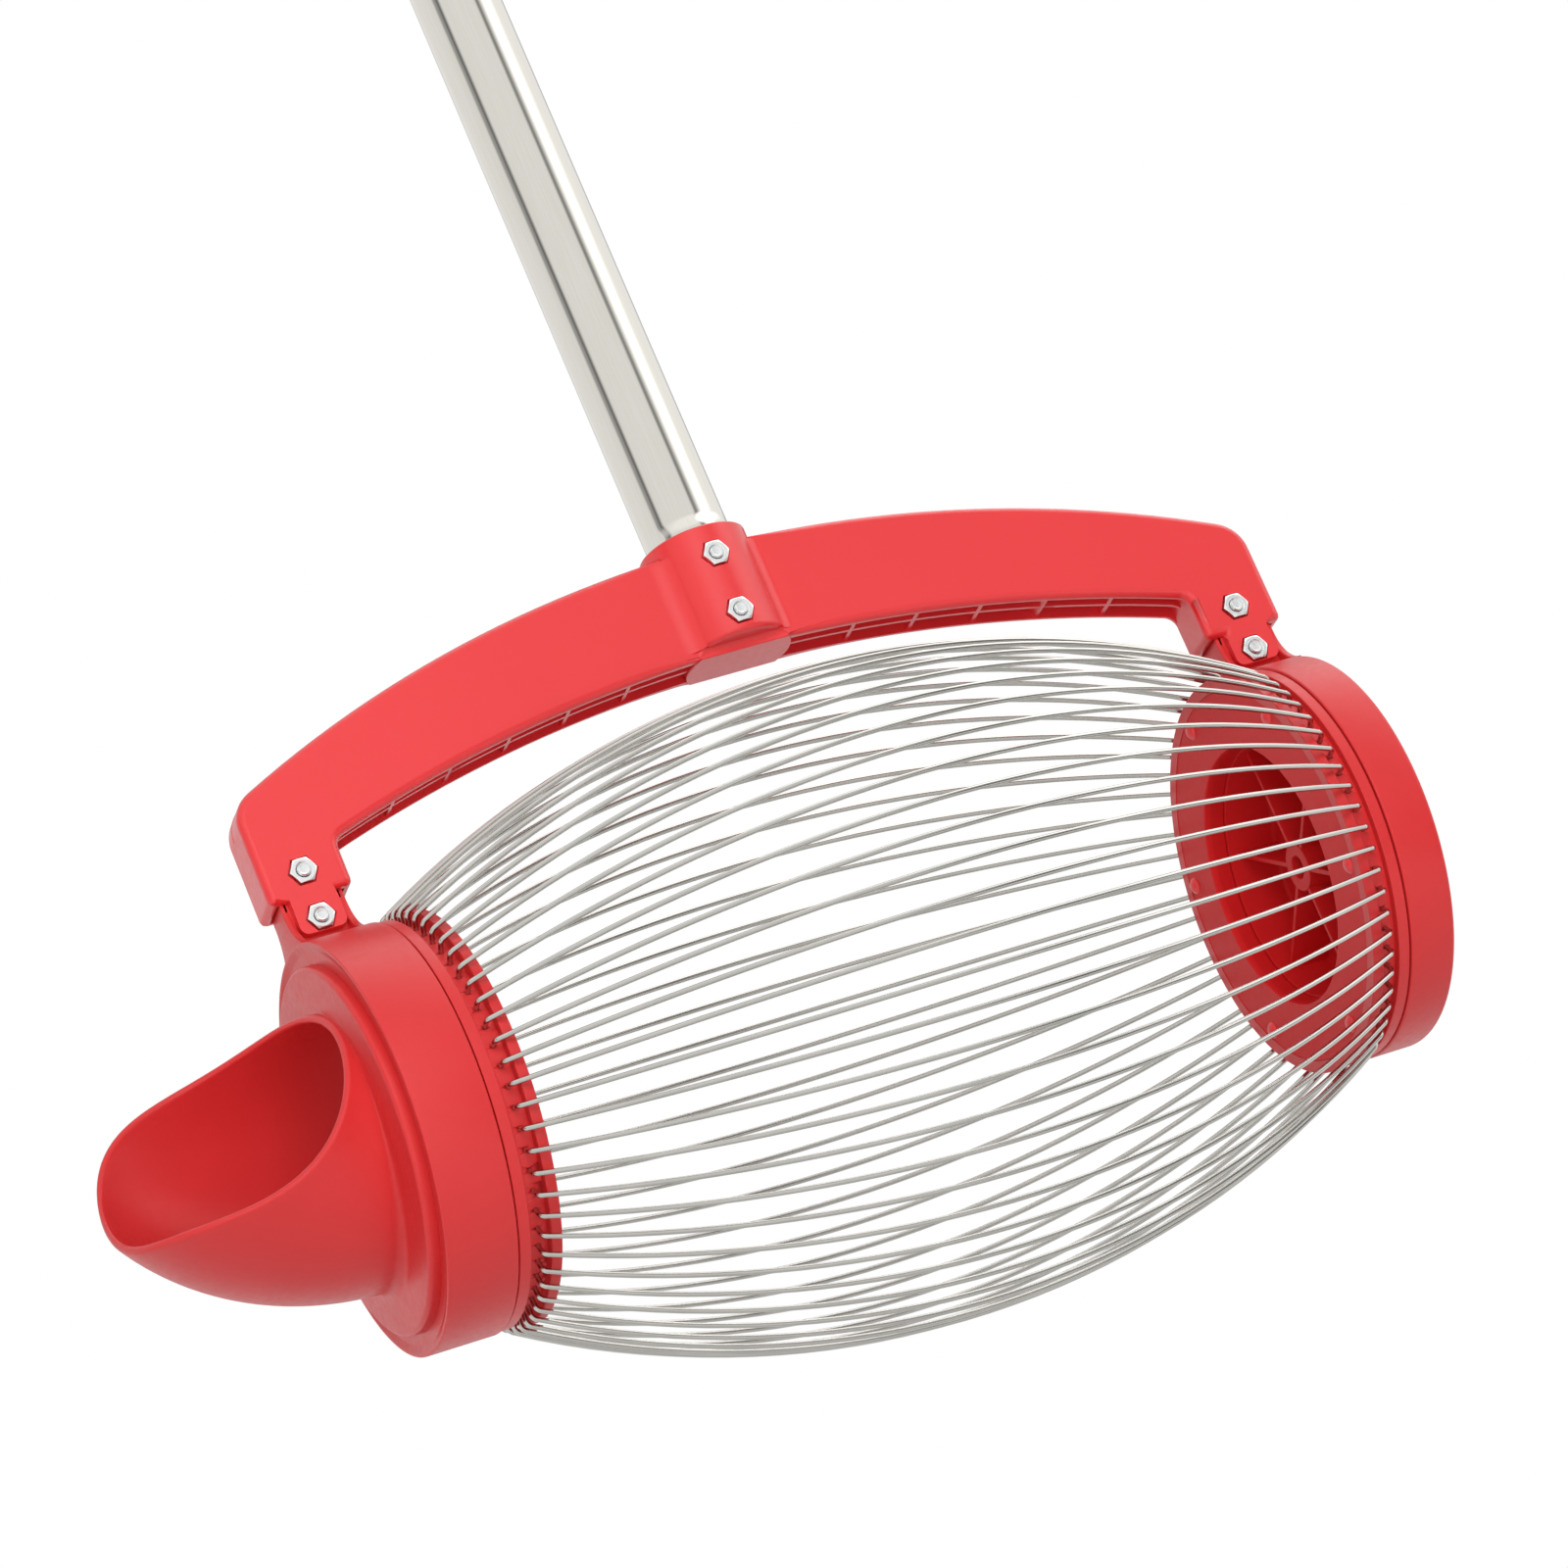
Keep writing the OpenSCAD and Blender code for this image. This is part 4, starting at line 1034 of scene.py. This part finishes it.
def add_lower_tube():
    """The socket presses the tube a little out of round: its front swells just over it."""
    levels = [(TUBE_IN_R, SEAT_Z), (TUBE_R, SEAT_Z)]
    levels += [(TUBE_R, FINE_Z + FINE_STEP * k) for k in range(FINE_ROWS)]
    levels += [(TUBE_R, COARSE_Z + COARSE_STEP * k) for k in range(COARSE_ROWS)]
    levels += [(TUBE_R, JOINT_Z - CHAMFER_EASE), (TUBE_R, JOINT_Z - CHAMFER_H)]
    levels += [(TUBE_R - CHAMFER, JOINT_Z), (TUBE_IN_R, JOINT_Z)]
    levels += [(TUBE_IN_R, INNER_Z), (TUBE_IN_R, SWELL_TOP)]
    rows = []
    for radius, z in levels:
        row = []
        for k in range(TUBE_SECTORS):
            a = 2 * pi * k / TUBE_SECTORS
            facing = max(0.0, -sin(a) - SWELL_EDGE) / (1 - SWELL_EDGE)
            r = radius + SWELL * swell(z) * facing ** 2
            row.append(at_drum(r * cos(a), r * sin(a), z))
        rows.append(row)
    bm = bmesh.new()
    skin(bm, rows)
    piece("lower_tube_drawn", bm, POLISHED, "frame", "lower_tube")


def add_upper_tube():
    bm = bmesh.new()
    turned(bm, [
        (TUBE_IN_R, JOINT_Z), (TUBE_R - CHAMFER, JOINT_Z), (TUBE_R, JOINT_Z + CHAMFER_H),
        (TUBE_R, JOINT_Z + CHAMFER_EASE), (TUBE_R, TUBE_TOP), (TUBE_IN_R, TUBE_TOP),
    ], at_drum, TUBE_SECTORS)
    piece("upper_tube_drawn", bm, POLISHED, "frame", "upper_tube")


def add_grip():
    """A sleeve with a thick lower collar and finger grooves all round."""
    turns = [pi / 2 * k / GRIP_ROUND_STEPS for k in range(GRIP_ROUND_STEPS + 1)]
    low_r, top_r = GRIP_R - GRIP_ROUND, GRIP_R - GRIP_TOP_ROUND
    top_z = TUBE_TOP - GRIP_TOP_ROUND
    outline = [(TUBE_R + GRIP_FIT, GRIP_Z)]
    outline += [(low_r + GRIP_ROUND * sin(a), GRIP_Z + GRIP_ROUND * (1 - cos(a))) for a in turns]
    outline.append((GRIP_R, GRIP_Z + GRIP_COLLAR))
    for g in range(GROOVES):
        start = GRIP_Z + GROOVE_Z - GROOVE_W / 2 + g * GROOVE_PITCH
        for k in range(GROOVE_STEPS + 1):
            t = k / GROOVE_STEPS
            depth = RIB_SINK + GROOVE_DEPTH * sin(pi * t) ** 2
            outline.append((GRIP_R - depth, start + GROOVE_W * t))
    outline.append((GRIP_R, TUBE_TOP - GRIP_TOP_BAND))
    outline += [(top_r + GRIP_TOP_ROUND * cos(a), top_z + GRIP_TOP_ROUND * sin(a)) for a in turns]
    outline.append((TUBE_R + GRIP_FIT, TUBE_TOP))
    bm = bmesh.new()
    turned(bm, outline, at_drum, TUBE_SECTORS)
    piece("grip_sleeve", bm, RUBBER, "frame", "hand_grip")


def add_plug():
    bottom, base = TUBE_TOP - PLUG_L, TUBE_TOP + DOME_Z
    outline = [
        (0.0, bottom), (PLUG_R - PLUG_LEAD, bottom), (PLUG_R, bottom + PLUG_LEAD), (PLUG_R, TUBE_TOP),
        (PLUG_HEAD_R - PLUG_RIM, TUBE_TOP), (PLUG_HEAD_R, TUBE_TOP + PLUG_RIM),
    ]
    for k in range(DOME_STEPS + 1):
        a = pi / 2 * k / DOME_STEPS
        outline.append((PLUG_HEAD_R * cos(a) ** DOME_POWER, base + DOME_H * sin(a)))
    bm = bmesh.new()
    turned(bm, outline, at_drum, PLUG_SECTORS, closed=False)
    piece("plug_dome", bm, BLACK, "frame", "handle_plug")


add_lower_tube()
add_upper_tube()
add_grip()
add_plug()

for entry in frame["record"]["subparts"]:
    paint(frame["nodes"][entry["node"]], entry["material_slot"])


# Camera, light and background

# The photograph's camera: its axes and place in the row frame, and its focal length in pixels
CAMERA_RIGHT = Vector((0.8980503349, -0.2314173510, -0.3741010633))
CAMERA_DOWN = Vector((-0.2577990226, 0.4122125592, -0.8738538035))
CAMERA_AHEAD = Vector((0.3564340891, 0.8812075894, 0.3105284600))
CAMERA_PLACE = Vector((-0.807258, -1.988914, -0.615123 + DRUM_Z))
FOCAL_PX, IMAGE_PX, SENSOR_MM = 6419.944, 1600.0, 36.0

DRUM = (0.0, 0.0, DRUM_Z)
LAMPS = (  # name, place, size and power; all of them face the drum
    ("key", (-0.5, -2.8, -0.1), (1.8, 1.6), 38.5),
    ("side", (-2.9, -0.15, DRUM_Z + 0.12), (0.7, 0.7), 12.0),
    ("fill", (2.4, -1.2, 0.3), (1.4, 1.8), 10.0),
    ("back", (0.6, 2.6, 0.2), (1.8, 1.6), 18.0),
    ("low", (-0.4, -1.9, -1.55), (1.6, 0.5), 11.0),
)

# Brightness of the mirrored studio, as (share of a turn from -X, level):
# walls, low corners and the ceiling's edge
STUDIO = (
    (0.0, 0.95), (0.008, 0.94), (0.02, 0.46), (0.04, 0.36), (0.048, 0.12), (0.056, 0.3), (0.072, 0.97),
    (0.19, 1.0), (0.314, 0.98), (0.327, 0.36), (0.339, 0.28), (0.35, 0.6), (0.366, 1.15), (0.385, 1.8),
    (0.432, 1.8), (0.47, 1.2), (0.6, 1.05), (0.64, 0.5), (0.7, 0.5), (0.77, 1.0), (0.93, 1.0), (1.0, 0.95),
)
STUDIO_LOW = (
    (0.0, 0.95), (0.285, 0.98), (0.306, 0.22), (0.33, 0.05), (0.4, 0.05), (0.425, 0.6), (0.45, 0.95),
    (0.78, 0.95), (0.93, 0.92), (1.0, 0.95),
)
STUDIO_HIGH = ((0.0, 1.2), (0.33, 1.2), (0.4, 2.4), (0.58, 2.4), (0.65, 1.0), (1.0, 1.0))
STUDIO_FLOOR, STUDIO_PEAK, AMBIENT = 1.15, 2.4, 0.31
# Heights of a mirrored direction between which each blends into the next
FLOOR_BLEND, LOW_BLEND, HIGH_BLEND = (-0.52, -0.40), (-0.15, 0.10), (0.45, 0.75)

FLOOR_Z, FLOOR_R = -1.62, 1.7
FADE_START, FADE_END, FADE_LEAST = 0.3 * FLOOR_R, 0.85 * FLOOR_R, 0.35


def add_camera():
    data = bpy.data.cameras.new("camera")
    data.sensor_fit = "HORIZONTAL"
    data.sensor_width = SENSOR_MM
    data.lens = SENSOR_MM * FOCAL_PX / IMAGE_PX
    data.clip_start = 0.05
    data.clip_end = 50.0
    camera = new_object("camera", data)
    turn = Matrix((CAMERA_RIGHT, -CAMERA_DOWN, -CAMERA_AHEAD)).transposed().to_4x4()
    camera.matrix_world = Matrix.Translation(CAMERA_PLACE) @ turn
    bpy.context.scene.camera = camera


def add_light(name, place, size, power):
    data = bpy.data.lights.new(name, "AREA")
    data.shape = "RECTANGLE"
    data.size, data.size_y = size
    data.energy = power
    lamp = new_object(name, data)
    lamp.location = place
    lamp.rotation_euler = (Vector(DRUM) - Vector(place)).to_track_quat("-Z", "Y").to_euler()
    lamp.visible_glossy = False


def add_world():
    """White to the camera, even soft light on the object, and a studio with dark gaps for mirrors."""
    world = bpy.data.worlds.new("studio")
    world.use_nodes = True
    world.node_tree.nodes.clear()
    new, link = world.node_tree.nodes.new, world.node_tree.links.new
    path = new("ShaderNodeLightPath")
    coords = new("ShaderNodeTexCoord")
    turn = new("ShaderNodeTexGradient")
    turn.gradient_type = "RADIAL"
    link(coords.outputs["Generated"], turn.inputs["Vector"])
    axes = new("ShaderNodeSeparateXYZ")
    link(coords.outputs["Generated"], axes.inputs["Vector"])

    def background(strength):
        node = new("ShaderNodeBackground")
        node.inputs["Color"].default_value = (1.0, 1.0, 1.0, 1.0)
        node.inputs["Strength"].default_value = strength
        return node

    def mix(factor, a, b):
        node = new("ShaderNodeMixShader")
        link(factor, node.inputs[0])
        link(a.outputs[0], node.inputs[1])
        link(b.outputs[0], node.inputs[2])
        return node

    def wall(levels):
        ramp = new("ShaderNodeValToRGB")
        elements = ramp.color_ramp.elements
        while len(elements) < len(levels):
            elements.new(0.5)
        for element, (place, level) in zip(elements, levels):
            grey = level / STUDIO_PEAK
            element.position = place
            element.color = (grey, grey, grey, 1.0)
        link(turn.outputs["Fac"], ramp.inputs["Fac"])
        shade = background(STUDIO_PEAK)
        link(ramp.outputs["Color"], shade.inputs["Color"])
        return shade

    def above(blend):
        node = new("ShaderNodeMapRange")
        node.inputs["From Min"].default_value, node.inputs["From Max"].default_value = blend
        link(axes.outputs["Z"], node.inputs["Value"])
        return node.outputs["Result"]

    low = mix(above(FLOOR_BLEND), background(STUDIO_FLOOR), wall(STUDIO_LOW))
    walls = mix(above(LOW_BLEND), low, wall(STUDIO))
    mirrored = mix(above(HIGH_BLEND), walls, wall(STUDIO_HIGH))
    clear = new("ShaderNodeMath")
    clear.operation = "MAXIMUM"
    link(path.outputs["Is Camera Ray"], clear.inputs[0])
    link(path.outputs["Is Transmission Ray"], clear.inputs[1])
    lit = mix(path.outputs["Is Glossy Ray"], background(AMBIENT), mirrored)
    shown = mix(clear.outputs["Value"], lit, background(1.0))
    out = new("ShaderNodeOutputWorld")
    link(shown.outputs[0], out.inputs["Surface"])
    bpy.context.scene.world = world


def floor_material():
    """Pale, and white towards the rim for the camera and for mirrors."""
    m = Nodes("pale_floor")
    m.put("Base Color", m.shades(m.noise(3.0, 2.0), (0.83, 0.83, 0.83), (0.85, 0.85, 0.85)))
    m.put("Roughness", 0.9)
    flat = m.new("ShaderNodeVectorMath", {1: (1.0, 1.0, 0.0)}, operation="MULTIPLY")
    m.link(m.coords, flat.inputs[0])
    away = m.new("ShaderNodeVectorMath", operation="LENGTH")
    m.link(flat.outputs["Vector"], away.inputs[0])
    path = m.new("ShaderNodeLightPath")
    seen = m.new("ShaderNodeMath", operation="MAXIMUM")
    m.link(path.outputs["Is Camera Ray"], seen.inputs[0])
    m.link(path.outputs["Is Glossy Ray"], seen.inputs[1])
    rim = m.new("ShaderNodeMath", operation="MULTIPLY")
    m.link(m.span(away.outputs["Value"], FADE_LEAST, 1.0, FADE_START, FADE_END), rim.inputs[0])
    m.link(seen.outputs["Value"], rim.inputs[1])
    white = m.new("ShaderNodeEmission")
    blend = m.new("ShaderNodeMixShader")
    m.link(rim.outputs["Value"], blend.inputs[0])
    m.link(m.bsdf.outputs[0], blend.inputs[1])
    m.link(white.outputs[0], blend.inputs[2])
    m.link(blend.outputs[0], m.tree.nodes["Material Output"].inputs["Surface"])
    return m.material


def add_floor():
    """A pale round floor; its rim fades into the white background."""
    bm = bmesh.new()
    bmesh.ops.create_circle(bm, cap_ends=True, segments=128, radius=FLOOR_R)
    bmesh.ops.translate(bm, verts=bm.verts, vec=(0, 0, FLOOR_Z))
    mesh = bpy.data.meshes.new("floor")
    bm.to_mesh(mesh)
    bm.free()
    mesh.materials.append(floor_material())
    floor = new_object("floor", mesh)


add_camera()
add_world()
add_floor()
for lamp in LAMPS:
    add_light(*lamp)

bpy.context.scene.view_settings.view_transform = "Standard"
bpy.context.view_layer.update()
